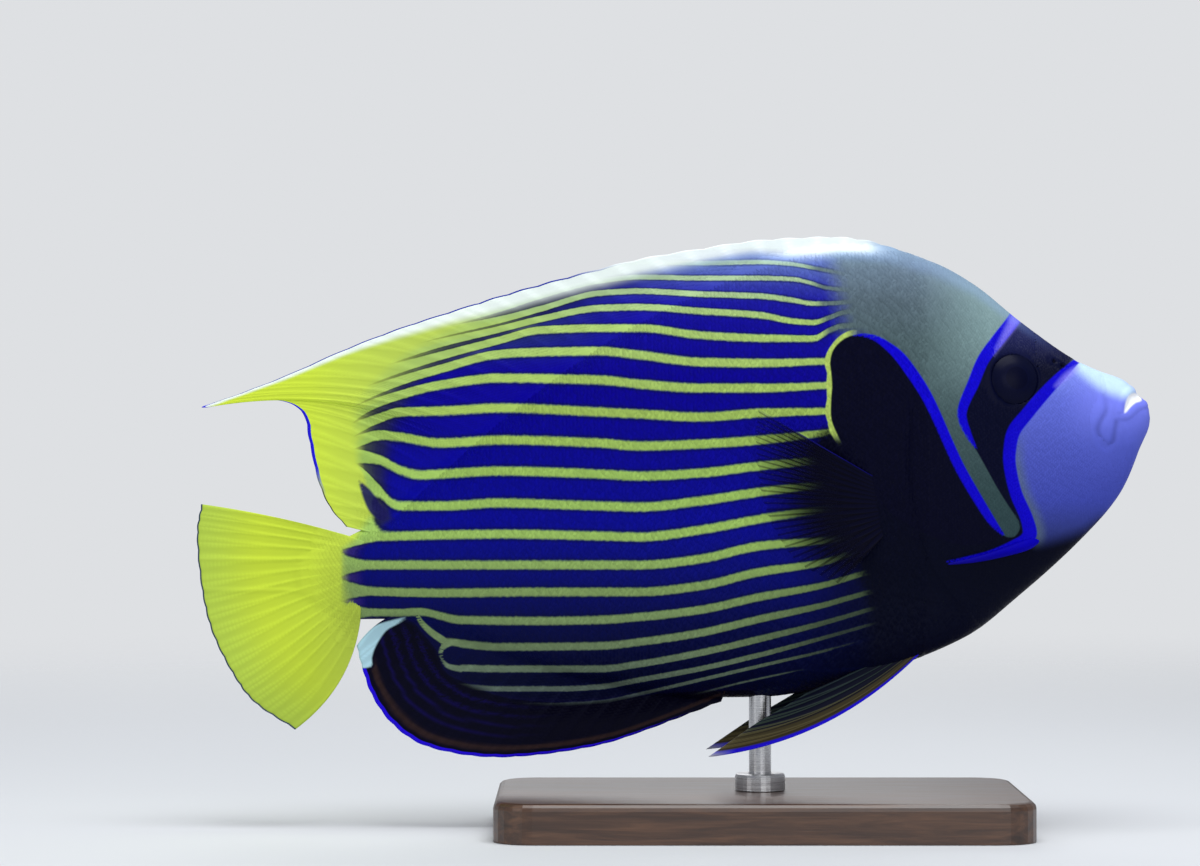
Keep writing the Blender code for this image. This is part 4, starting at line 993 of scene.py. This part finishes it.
def make_fin_scales(name, fin, spiny_share, start, end, out_share, seed, tones, slot, material):
    """Small scales over the fleshy part of an upright fin, in rows along its rays, on both faces."""
    chance = np.random.default_rng(seed)
    row, _ = fin.place(np.linspace(start, end, 200), np.full(200, 0.45))
    count_t = int(np.linalg.norm(np.diff(row, axis=0), axis=1).sum() / FIN_SCALE_SPACING)
    places = fin_places(fin, start, end, count_t, out_share, chance)
    count = len(places)
    scales = Scales(count, SCALE_ROWS, 3)
    t = places[:, :1] + scales.wide[None] * 2 * ((end - start) / count_t)
    out = (places[:, 1:2] + scales.back[None] * FIN_SCALE_SPACING * 1.25) / places[:, 2:]
    t, out = np.clip(t.ravel(), 0, 1), np.clip(out.ravel(), -0.5, 0.995)
    flat, _ = fin.place(t, out)
    ridge = ray_ridges(t, out, fin.rays, spiny_share)
    skin_half = fin.halves(flat, out, ridge)
    thin = 1 - smooth_step(out / out_share, 0.35, 1.0)
    lift = np.tile(scales.high, count) * 0.08 * np.repeat(chance.uniform(0.8, 1.2, count), scales.each) * thin
    ridge_tone, base_tone, low_tone = tones
    tone = np.repeat(chance.uniform(-0.4, 0.4, count), scales.each) * thin
    tone = tone + ridge_tone * ridge + base_tone + low_tone * smooth_step(t, 0.55, 1.0)
    border = PLAIN_BORDER + 0.3 * thin * (scales.border - PLAIN_BORDER)
    edge = (1 - out) * np.repeat(places[:, 2], scales.each)
    centre, _ = fin.place(places[:, 0], places[:, 1] / places[:, 2])
    low, size = flat.min(axis=0), (flat.max(axis=0) - flat.min(axis=0)).max()
    u, v = ((centre - low) / size * [0.46, 0.9] + 0.02).T[..., None]
    for side, word in SIDES:
        points = np.stack([flat[:, 0], side * (skin_half + 0.04 + lift), flat[:, 1]], axis=1)
        fields = {**fin.fields(points, t, edge), "tone": tone, "border": border}
        scales.add(
            f"{name}_{word}", points, side > 0, fields, u + (0.5 if side > 0 else 0.0), v, slot, material)


# ---- small forms ----

def make_cheek_spine(side, word, material):
    """The stout spine at the corner of the cheek, a swept round taper."""
    count, around = 40, 16
    line = [(x, z, r, lift) for (x, z, r), lift in zip(CHEEK_SPINE, CHEEK_SPINE_LIFT)]
    x, z, radius, lift = curve_through(line)(np.linspace(0, 1, count)).T
    centre = np.stack([x, side * (flank_width(x, z, True) + lift), z], axis=1)
    ahead = np.gradient(centre, axis=0)
    ahead /= np.linalg.norm(ahead, axis=1, keepdims=True)
    outward = np.tile([0.0, side, 0.0], (count, 1))
    outward -= (outward * ahead).sum(axis=1, keepdims=True) * ahead
    outward /= np.linalg.norm(outward, axis=1, keepdims=True)
    upward = np.cross(ahead, outward)
    turn = np.linspace(0, 2 * math.pi, around, endpoint=False)[None, :, None]
    rings = centre[:, None] + np.maximum(radius, 0.2)[:, None, None] * (
        np.cos(turn) * outward[:, None] * 0.85 + np.sin(turn) * upward[:, None])
    points, faces = closed_tube(rings, centre[0], centre[-1] + ahead[-1] * 0.4)
    piece = add_mesh(f"cheek_spine_{word}", points, faces, material)
    fix_outward(piece)
    add_fields(piece, {"along": np.concatenate([np.repeat(np.linspace(0, 1, count), around), [0, 1]])})


def make_eye(side, word, material):
    """The eyeball: a flattened ball turned to face out of the flank, with a faint groove about its cornea."""
    bpy.ops.object.select_all(action="DESELECT")
    bpy.ops.mesh.primitive_uv_sphere_add(segments=96, ring_count=64, radius=1.0)
    eye = bpy.context.object
    eye.name = eye.data.name = f"eye_{word}"
    mesh = eye.data
    points = np.empty(len(mesh.vertices) * 3)
    mesh.vertices.foreach_get("co", points)
    points = points.reshape(-1, 3)
    away = np.hypot(points[:, 0], points[:, 1]) * EYE_RADIUS
    points = points * [EYE_RADIUS, EYE_RADIUS, EYE_DEPTH]
    points[:, 2] -= np.where(points[:, 2] > 0, 0.06 * hump(away - 6.9, 0.9), 0)
    turn = Vector((0, 0, 1)).rotation_difference(Vector(flank_normal(EYE_X, EYE_Z, side))).to_matrix()
    points = points @ np.array(turn).T + eye_centre(side)
    mesh.vertices.foreach_set("co", (points * MM).ravel())
    mesh.update()
    mesh.polygons.foreach_set("use_smooth", np.full(len(mesh.polygons), True))
    mesh.materials.append(material)
    add_fields(eye, {"away": away})
    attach(eye, "root")
    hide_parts(f"eye_{word}")


# ---- materials ----

class Paint:
    """Builds a node tree by short calls. A value is a number, a screen colour, a socket or the name of a field."""

    def __init__(self, tree):
        self.nodes, self.links, self.found = tree.nodes, tree.links, {}

    def link(self, value, socket):
        if isinstance(value, str):
            value = self.field(value)
        if isinstance(value, tuple):
            socket.default_value = srgb(*value)
        elif isinstance(value, (int, float)):
            socket.default_value = value
        elif value is not None:
            self.links.new(value, socket)

    def field(self, name):
        if name not in self.found:
            node = self.nodes.new("ShaderNodeAttribute")
            node.attribute_name = name
            self.found[name] = node.outputs["Fac"]
        return self.found[name]

    def group(self, tree):
        node = self.nodes.new("ShaderNodeGroup")
        node.node_tree = tree
        return node.outputs[0]

    def math(self, operation, *values, clamp=False):
        node = self.nodes.new("ShaderNodeMath")
        node.operation = operation
        node.use_clamp = clamp
        for value, socket in zip(values, node.inputs):
            self.link(value, socket)
        return node.outputs[0]

    def times(self, a, b):
        return self.math("MULTIPLY", a, b)

    def less(self, a, b):
        return self.math("SUBTRACT", a, b)

    def scaled(self, value, factor, offset):
        return self.math("MULTIPLY_ADD", value, factor, offset)

    def step(self, value, start, end):
        """0 before start, 1 after end and smooth between. Start may be the greater."""
        node = self.nodes.new("ShaderNodeMapRange")
        node.interpolation_type = "SMOOTHSTEP"
        self.link(value, node.inputs["Value"])
        for word, (place, result) in zip(("Min", "Max"), sorted([(start, 0.0), (end, 1.0)])):
            node.inputs["From " + word].default_value = place
            node.inputs["To " + word].default_value = result
        return node.outputs[0]

    def zone(self, ahead, down):
        """A soft-edged part of the side view, from a range of the way ahead and one of the way down."""
        return self.times(self.step("ahead", *ahead), self.step("down", *down))

    def mix(self, share, a, b):
        node = self.nodes.new("ShaderNodeMix")
        node.data_type = "RGBA"
        for value, socket in ((share, 0), (a, 6), (b, 7)):
            self.link(value, node.inputs[socket])
        return node.outputs[2]

    def cover(self, colour, share, strength, paint):
        """The colour with some paint laid over it where share is high."""
        return self.mix(self.times(share, strength), colour, paint)

    def ramp(self, value, *stops):
        """A colour that runs through stops of (place, red, green, blue)."""
        node = self.nodes.new("ShaderNodeValToRGB")
        ramp = node.color_ramp
        while len(ramp.elements) < len(stops):
            ramp.elements.new(0.5)
        for element, (place, *colour) in zip(ramp.elements, stops):
            element.position = place
            element.color = srgb(*colour)
        self.link(value, node.inputs[0])
        return node.outputs[0]

    def noise(self, scale, detail=3.0, rough=0.5, distortion=0.0, stretch=None):
        """Noise over the piece's own place in metres, which may be stretched first."""
        place = self.nodes.new("ShaderNodeTexCoord").outputs["Object"]
        if stretch:
            mapping = self.nodes.new("ShaderNodeMapping")
            mapping.inputs["Scale"].default_value = stretch
            self.links.new(place, mapping.inputs["Vector"])
            place = mapping.outputs[0]
        node = self.nodes.new("ShaderNodeTexNoise")
        for name, value in (("Scale", scale), ("Detail", detail), ("Roughness", rough), ("Distortion", distortion)):
            node.inputs[name].default_value = value
        self.links.new(place, node.inputs["Vector"])
        return node.outputs["Fac"]

    def bump(self, height, distance, strength):
        node = self.nodes.new("ShaderNodeBump")
        for name, value in (("Height", height), ("Distance", distance), ("Strength", strength)):
            self.link(value, node.inputs[name])
        return node.outputs[0]

    def tuned(self, colour, share):
        """A colour made lighter or darker by share, where 0 leaves it alone."""
        node = self.nodes.new("ShaderNodeHueSaturation")
        self.link(self.math("ADD", share, 1.0), node.inputs["Value"])
        self.link(colour, node.inputs["Color"])
        return node.outputs[0]

    def dress(self, colour, roughness, specular=None, normal=None, coat=(None, None), alpha=None, metallic=None):
        """Sets the shader's sockets. What isn't given stays as it comes."""
        shader = self.nodes["Principled BSDF"]
        for name, value in (
                ("Base Color", colour), ("Roughness", roughness), ("Specular IOR Level", specular),
                ("Normal", normal), ("Coat Weight", coat[0]), ("Coat Roughness", coat[1]),
                ("Alpha", alpha), ("Metallic", metallic)):
            self.link(value, shader.inputs[name])


def new_group(name, result, kind):
    """A shared group with one result: its tree, its paint and the socket that takes the result."""
    tree = bpy.data.node_groups.new(name, "ShaderNodeTree")
    tree.interface.new_socket(name=result, in_out="OUTPUT", socket_type=kind)
    return tree, Paint(tree), tree.nodes.new("NodeGroupOutput").inputs[0]


def new_material(name):
    material = bpy.data.materials.new(name)
    material.use_nodes = True
    return material, Paint(material.node_tree)


def flank_paint(p):
    """Yellow lines on blue over the flank and its fins, running into a plain yellow at the tail."""
    # Blue and yellow run by height, darker towards the belly and lighter near the top edge: partly the fish's own
    # colours and partly painted shade and light from above
    height = p.step("down", 760, 230)
    blue = p.ramp(
        height, (0.01, 3, 7, 32), (0.068, 4, 9, 45), (0.152, 4, 10, 69), (0.21, 5, 11, 90), (0.275, 6, 12, 111),
        (0.345, 7, 12, 129), (0.43, 7, 9, 144), (0.8, 8, 1, 138), (0.92, 16, 10, 144), (0.95, 24, 22, 148),
        (0.97, 48, 54, 156), (0.985, 80, 96, 172))
    yellow = p.ramp(
        height, (0.02, 84, 98, 96), (0.054, 94, 110, 98), (0.085, 110, 130, 104), (0.12, 118, 140, 100),
        (0.174, 128, 154, 100), (0.239, 132, 160, 96), (0.306, 146, 178, 98), (0.388, 160, 196, 100),
        (0.56, 158, 194, 96), (0.72, 160, 190, 92), (0.92, 166, 196, 110), (0.975, 160, 186, 144))
    blue = p.cover(blue, p.zone((640, 490), (372, 326)), 0.72, (40, 54, 74))
    olive = p.ramp("dull", (0.2, 16, 14, 100), (0.5, 36, 38, 76), (0.75, 66, 74, 68), (1, 116, 128, 72))
    violet = p.ramp("dull", (0.2, 20, 14, 110), (0.6, 54, 42, 116), (1, 124, 106, 130))
    blue = p.mix(p.step("dull", 0.05, 0.4), blue, p.mix(p.step("down", 526, 546), olive, violet))
    low_front = p.zone((785, 866), (490, 570))
    blue = p.cover(blue, low_front, 0.85, (4, 8, 34))
    yellow = p.cover(yellow, low_front, 0.62, (36, 46, 52))
    yellow = p.cover(yellow, p.zone((700, 850), (560, 640)), 0.78, (30, 36, 48))
    by_nape = p.times(p.step("nape", -29.8, -17), p.step("down", 350, 338))
    yellow = p.cover(yellow, by_nape, 0.88, (80, 97, 104))
    off_line = p.math("ABSOLUTE", p.less("line", p.math("ROUND", "line")))
    away = p.math("ADD", off_line, p.scaled(p.noise(700), 0.07, -0.035))
    inside = p.less("half", away)
    lines = p.times(p.step(inside, -0.045, 0.055), p.step("half", 0.01, 0.07))
    lines = p.math("MAXIMUM", lines, p.step("stroke", -0.8, 0.8))
    colour = p.mix(lines, p.cover(blue, p.step(inside, -0.14, -0.03), 0.62, (6, 12, 52)), yellow)
    rear = p.ramp(p.step("ahead", 190, 430), (0, 206, 226, 62), (0.5, 202, 224, 66), (1, 186, 208, 88))
    colour = p.mix(p.step("half", 0.3, 0.56), colour, rear)
    return p.cover(colour, p.step("wedge", -1.6, 1.6), 0.97, (27, 25, 84)), away


def pattern_group():
    """The fish's markings: a colour from the fields that each piece carries."""
    tree, p, result = new_group("Angelfish markings", "Color", "NodeSocketColor")
    colour, away = flank_paint(p)
    # The anal fin's dark part, its blue arcs, its brown band and the painted highlight on its pale end
    navy = p.ramp("anal_dark", (0, 10, 9, 52), (1, 4, 4, 24))
    colour = p.mix(p.step("anal_dark", -6, 5), colour, navy)
    colour = p.cover(colour, "arc", 0.45, (20, 10, 88))
    colour = p.cover(colour, "brown", 0.55, (58, 40, 34))
    colour = p.mix(p.step("anal_pale", -1, 1.5), colour, (170, 208, 220))
    # Everything ahead of the flank starts dark, and the nape and the breast lie over it, the breast with the
    # pectoral fin's painted shadow
    dark = p.ramp(p.step("down", 440, 720), (0, 3, 4, 27), (0.5, 3, 6, 26), (1, 12, 15, 36))
    colour = p.mix(p.step("ahead", 856, 880), colour, dark)
    # The nape's grey-green, painted lighter towards the top and over its upper front, as where the light from above
    # falls
    nape = p.ramp(
        p.math("DIVIDE", p.less("down", 240), 300, clamp=True), (0, 126, 150, 162), (0.1, 100, 118, 134),
        (0.2, 84, 100, 110), (0.34, 74, 92, 96), (0.6, 66, 86, 88), (0.85, 52, 74, 76), (1, 48, 70, 74))
    nape = p.cover(nape, p.zone((905, 1000), (430, 330)), 0.55, (144, 174, 174))
    ragged = p.math("ADD", "nape", p.scaled(p.noise(600), 10, -5))
    nape_share = p.mix(p.step("ahead", 880, 858), p.step("nape", -1, 1), p.step(ragged, -20, 12))
    colour = p.mix(nape_share, colour, nape)
    streaked = p.math("ADD", "breast", p.scaled(p.noise(900, 4, 0.6), 16, -8))
    colour = p.mix(p.step(streaked, -9, 9), colour, dark)
    # The dark patch of the shoulder with its scalloped gold rim, then the mask
    gold = p.times(p.step(p.scaled(away, -3.4, "patch"), -6.4, -4.8), "rim")
    colour = p.mix(gold, colour, (172, 196, 96))
    colour = p.mix(p.step("patch", -0.9, 0.9), colour, (3, 4, 28))
    # The mask is painted lighter towards its top, as where the light from above falls
    mask = p.mix(p.step("down", 372, 322), (3, 6, 34), (32, 36, 86))
    colour = p.mix(p.step("mask", -1, 1), colour, mask)
    # The face's blue, painted lighter towards the top and over its upper front, as where the light from above falls
    face = p.ramp(
        p.math("DIVIDE", p.less("down", 350), 200, clamp=True), (0, 134, 152, 240), (0.25, 98, 110, 212),
        (0.5, 80, 91, 190), (0.75, 67, 78, 178), (0.9, 52, 62, 134), (1, 36, 44, 96))
    face = p.cover(face, p.zone((1050, 1115), (450, 390)), 0.6, (132, 140, 250))
    fringe = p.times(p.step("mask_front", -13, 0), p.step("down", 425, 470))
    face = p.cover(face, fringe, 0.7, (92, 110, 122))
    face_share = p.mix(p.step("down", 500, 530), p.step("face", -1, 1), p.step("face", -8, 10))
    colour = p.mix(face_share, colour, face)
    colour = p.cover(colour, "shine", 0.8, (206, 236, 246))
    for name in ("shoulder", "mask_rear", "mask_front"):
        colour = p.mix(p.step(name, -1, 1), colour, BRIGHT_BLUE)
    # Painted highlights where the front blue lines meet the brow and the snout
    colour = p.cover(colour, p.step("spots", -4, 3), 0.6, (142, 134, 240))
    # The painted highlight along the top edge, whiter towards the tail
    crest_highlight = p.ramp("pale", (0.1, 134, 164, 232), (0.5, 190, 214, 248), (0.85, 242, 251, 250))
    crest_highlight = p.mix(p.step("ahead", 600, 720), (240, 250, 244), crest_highlight)
    p.link(p.cover(colour, "pale", 0.95, crest_highlight), result)
    return tree


def joint_group():
    """The fine joints along the soft rays, as a height for the bump of every rayed fin."""
    tree, p, result = new_group("Fin ray joints", "Height", "NodeSocketFloat")
    wave = p.math("SINE", p.times("along", 4.4))
    p.link(p.times(p.times(wave, "ridge"), 0.22), result)
    return tree


def skin_material():
    material, p = new_material("fish skin")
    # Painted highlight, white, on the top of the lower lip
    colour = p.mix(p.step("mouth", 0, 0.9), p.group(markings), (238, 240, 244))
    # Painted shade in the nostrils and the lip fold
    colour = p.mix("recess_shade", colour, (10, 10, 30))
    colour = p.tuned(colour, p.scaled(p.noise(260, 4, 0.6), 0.2, -0.1))
    bump = p.bump(p.noise(1500), 0.00008, 0.5)
    p.dress(colour, p.scaled(p.noise(900, 2), 0.2, 0.32), SOFT_SHINE, bump)
    return material


def scale_material():
    material, p = new_material("fish scales")
    # Random tone, with painted shade at each scale's front and painted light at its rear rim
    tone = p.math("ADD", p.times("tone", 0.07), p.scaled("border", 0.14, -0.08))
    bump = p.bump(p.noise(4000, 2), 0.00004, 0.4)
    p.dress(p.tuned(p.group(markings), tone), p.scaled("tone", 0.06, 0.42), SOFT_SHINE, bump)
    return material


def rayed_material(name, paint, roughness):
    """A fin with jointed rays, whose colour the given function makes."""
    material, p = new_material(name)
    p.dress(paint(p), roughness, SOFT_SHINE, p.bump(p.group(joints), 0.00012, 0.6))
    return material


def dorsal_paint(p):
    colour = p.tuned(p.group(markings), p.times("ridge", 0.1))
    rear = p.step("across", 0.655, 0.67)
    low = p.step("down", 465, 500)
    blue_edge = p.times(p.math("LESS_THAN", "edge", p.scaled(rear, 0.62, 0.7)), p.less(1, low))
    blue_edge = p.times(blue_edge, p.step("ahead", 640, 560))
    colour = p.mix(blue_edge, colour, p.mix(rear, (26, 42, 150), (36, 28, 216)))
    return p.mix(p.times(p.step("edge", 0.7, 0.4), low), colour, (24, 30, 60))


def caudal_paint(p):
    colour = p.mix(p.step("out", 0.55, 1), p.group(markings), (182, 208, 78))
    colour = p.tuned(colour, p.times(p.step("across", 0.55, 1), -0.16))
    colour = p.tuned(colour, p.scaled("ridge", 0.11, -0.07))
    return p.mix(p.step("edge", 0.7, 0.35), colour, (40, 62, 92))


def anal_paint(p):
    margin = p.times(p.step("edge", 1.6, 1.3), p.step("across", 0.05, 0.3))
    margin = p.times(margin, p.step("anal_pale", 0.5, -0.5))
    return p.tuned(p.mix(margin, p.group(markings), (34, 10, 214)), p.scaled("ridge", 0.16, -0.06))


def pelvic_paint(p):
    membrane = p.ramp(
        "across", (0, 26, 6, 206), (0.07, 24, 6, 200), (0.1, 56, 49, 36), (0.3, 62, 56, 36),
        (0.36, 12, 14, 34), (1, 10, 15, 32))
    rays = p.ramp(
        "across", (0, 28, 6, 208), (0.07, 28, 8, 202), (0.1, 84, 75, 48), (0.34, 80, 75, 50),
        (0.5, 46, 58, 52), (1, 40, 52, 56))
    colour = p.mix(p.step("ridge", 0.3, 0.75), membrane, rays)
    return p.mix(p.times(p.step("out", 0.9, 1), p.step("across", 0.12, 0)), colour, (150, 150, 160))


def pectoral_material():
    """Dark rays on a membrane that clears towards the fin's tips."""
    material, p = new_material("pectoral fin")
    ray = p.step("ridge", 0.25, 0.7)
    colour = p.mix(ray, (3, 4, 28), (2, 2, 15))
    colour = p.cover(colour, p.step("across", 0.02, 0), 0.6, (14, 12, 130))
    clear = p.times(p.step("out", 0.32, 1.05), 0.96)
    held = p.times(ray, p.scaled(p.step("out", 0.6, 1), -0.25, 0.5))
    alpha = p.less(1, p.times(clear, p.less(1, held)))
    p.dress(colour, 0.5, SOFT_SHINE, p.bump(p.noise(2500, 2), 0.00004, 0.4), alpha=alpha)
    return material


def spine_material():
    material, p = new_material("cheek spine")
    colour = p.ramp("along", (0, 8, 0, 176), (0.5, 7, 0, 146), (1, 14, 8, 124))
    p.dress(p.tuned(colour, p.scaled(p.noise(800), 0.2, -0.1)), 0.6, 0.03)
    return material


def eye_material():
    material, p = new_material("eye")
    speckle = p.scaled(p.noise(1400, 4), 0.6, -0.3)
    colour = p.ramp(
        p.math("DIVIDE", p.math("ADD", "away", speckle), 10), (0, 2, 4, 30), (0.40, 2, 4, 30),
        (0.43, 5, 8, 38), (0.47, 4, 7, 35), (0.66, 4, 7, 35), (0.8, 3, 6, 33), (1, 3, 6, 30))
    p.dress(colour, 0.4, SOFT_SHINE, coat=(0.02, 0.25))
    return material


def wood_material():
    material, p = new_material("stand wood")
    grain = p.noise(6, 8, 0.62, 0.6, (4, 60, 60))
    colour = p.ramp(grain, (0.25, 38, 24, 17), (0.45, 64, 41, 28), (0.6, 84, 56, 38), (0.8, 104, 72, 50))
    p.dress(colour, p.scaled(grain, 0.25, 0.26), normal=p.bump(grain, 0.0003, 0.35), coat=(0.25, 0.2))
    return material


def steel_material():
    material, p = new_material("stand steel")
    brush = p.noise(1, stretch=(40, 40, 2500))
    colour = p.ramp(brush, (0.3, 176, 176, 178), (0.7, 206, 206, 208))
    p.dress(colour, p.scaled(brush, 0.25, 0.16), normal=p.bump(brush, 0.00004, 0.5), metallic=1)
    return material


def floor_material():
    """Pale floor that fades into the pale background some way off."""
    material, p = new_material("pale floor")
    place = p.nodes.new("ShaderNodeTexCoord")
    length = p.nodes.new("ShaderNodeVectorMath")
    length.operation = "LENGTH"
    p.links.new(place.outputs["Object"], length.inputs[0])
    p.dress((214, 216, 219), 0.7, SOFT_SHINE, alpha=p.step(length.outputs["Value"], *FLOOR_FADE))
    return material


# ---- putting it together ----

markings, joints = pattern_group(), joint_group()
skin_paint, scale_paint = skin_material(), scale_material()
flank = Flank(*make_skin(skin_paint))

scale_columns = [SCALES_FROM]
while scale_columns[-1] > SCALES_TO:
    scale_columns.append(scale_columns[-1] - float(scale_pitch(np.array(scale_columns[-1]))) * 0.5)
first_of_body = sum(x >= HEAD_SCALES_TO for x in scale_columns)
first_of_body -= first_of_body % 2
make_flank_scales(
    "body_scales", flank, scale_columns[first_of_body:], 0.15, SCALE_ROWS, 5, 3, "flank_skin", scale_paint)
make_flank_scales(
    "head_scales", flank, scale_columns[:first_of_body], 0.06, SMALL_SCALE_ROWS, 4, 5, "face_skin", scale_paint)

fins = {kind: UprightFin(kind, *values) for kind, values in UPRIGHT_FINS.items()}
for kind, label, rows, paint, roughness in (
        ("dorsal", "dorsal fin", 72, dorsal_paint, 0.45), ("anal", "anal fin", 40, anal_paint, 0.42),
        ("caudal", "tail fin", 44, caudal_paint, 0.45)):
    make_upright_fin(f"{kind}_fin", fins[kind], rows, rayed_material(label, paint, roughness))
for kind, values in FIN_SCALES.items():
    make_fin_scales(f"{kind}_fin_scales", fins[kind], *values, scale_paint)
pectoral_skin, pelvic_skin = pectoral_material(), rayed_material("pelvic fin", pelvic_paint, 0.42)
spine_skin, eye_skin = spine_material(), eye_material()
for side, word in SIDES:
    make_pectoral(side, word, pectoral_skin)
    make_pelvic(side, word, pelvic_skin)
for side, word in SIDES:
    make_cheek_spine(side, word, spine_skin)
    make_eye(side, word, eye_skin)

wood, steel = wood_material(), steel_material()
for name, material in (("stand_base", wood), ("stand_rod", steel), ("stand_collar", steel)):
    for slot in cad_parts[name].material_slots:
        slot.material = material

# ---- floor, light and camera ----

bpy.ops.object.select_all(action="DESELECT")
bpy.ops.mesh.primitive_plane_add(size=1.0)
floor = bpy.context.object
floor.name = "floor"
floor.data.transform(Matrix.Translation((0, 0, -0.0002)) @ Matrix.Diagonal((6.0, 6.0, 1.0, 1.0)))
floor.data.materials.append(floor_material())

for name, place, aim, size, power, colour in LIGHTS:
    light = bpy.data.lights.new(name, "AREA")
    light.shape = "RECTANGLE"
    light.size, light.size_y = size
    light.energy = power
    light.color = colour
    lamp = bpy.data.objects.new(name, light)
    lamp.location = place
    lamp.rotation_euler = (Vector(aim) - Vector(place)).to_track_quat("-Z", "Y").to_euler()
    bpy.context.scene.collection.objects.link(lamp)

# The background is pale to the camera and lights the fish more softly than it looks
world = bpy.data.worlds.new("studio")
bpy.context.scene.world = world
world.use_nodes = True
sky = world.node_tree
seen, soft = sky.nodes["Background"], sky.nodes.new("ShaderNodeBackground")
for background, colour, strength in ((seen, (222, 224, 227), 1.0), (soft, (232, 236, 244), 0.4)):
    background.inputs["Color"].default_value = srgb(*colour)
    background.inputs["Strength"].default_value = strength
choice, path = sky.nodes.new("ShaderNodeMixShader"), sky.nodes.new("ShaderNodeLightPath")
for number, source in enumerate((path.outputs["Is Camera Ray"], soft.outputs[0], seen.outputs[0])):
    sky.links.new(source, choice.inputs[number])
sky.links.new(choice.outputs[0], sky.nodes["World Output"].inputs["Surface"])

lens = bpy.data.cameras.new("camera")
lens.lens = 120.0
lens.sensor_width = 36.0
camera = bpy.data.objects.new("camera", lens)
camera.location = (VIEW_MIDDLE[0] * MM, -VIEW_DISTANCE * MM, VIEW_MIDDLE[1] * MM)
camera.rotation_euler = (math.pi / 2, 0.0, 0.0)
bpy.context.scene.collection.objects.link(camera)
bpy.context.scene.camera = camera
bpy.context.scene.view_settings.view_transform = "Standard"
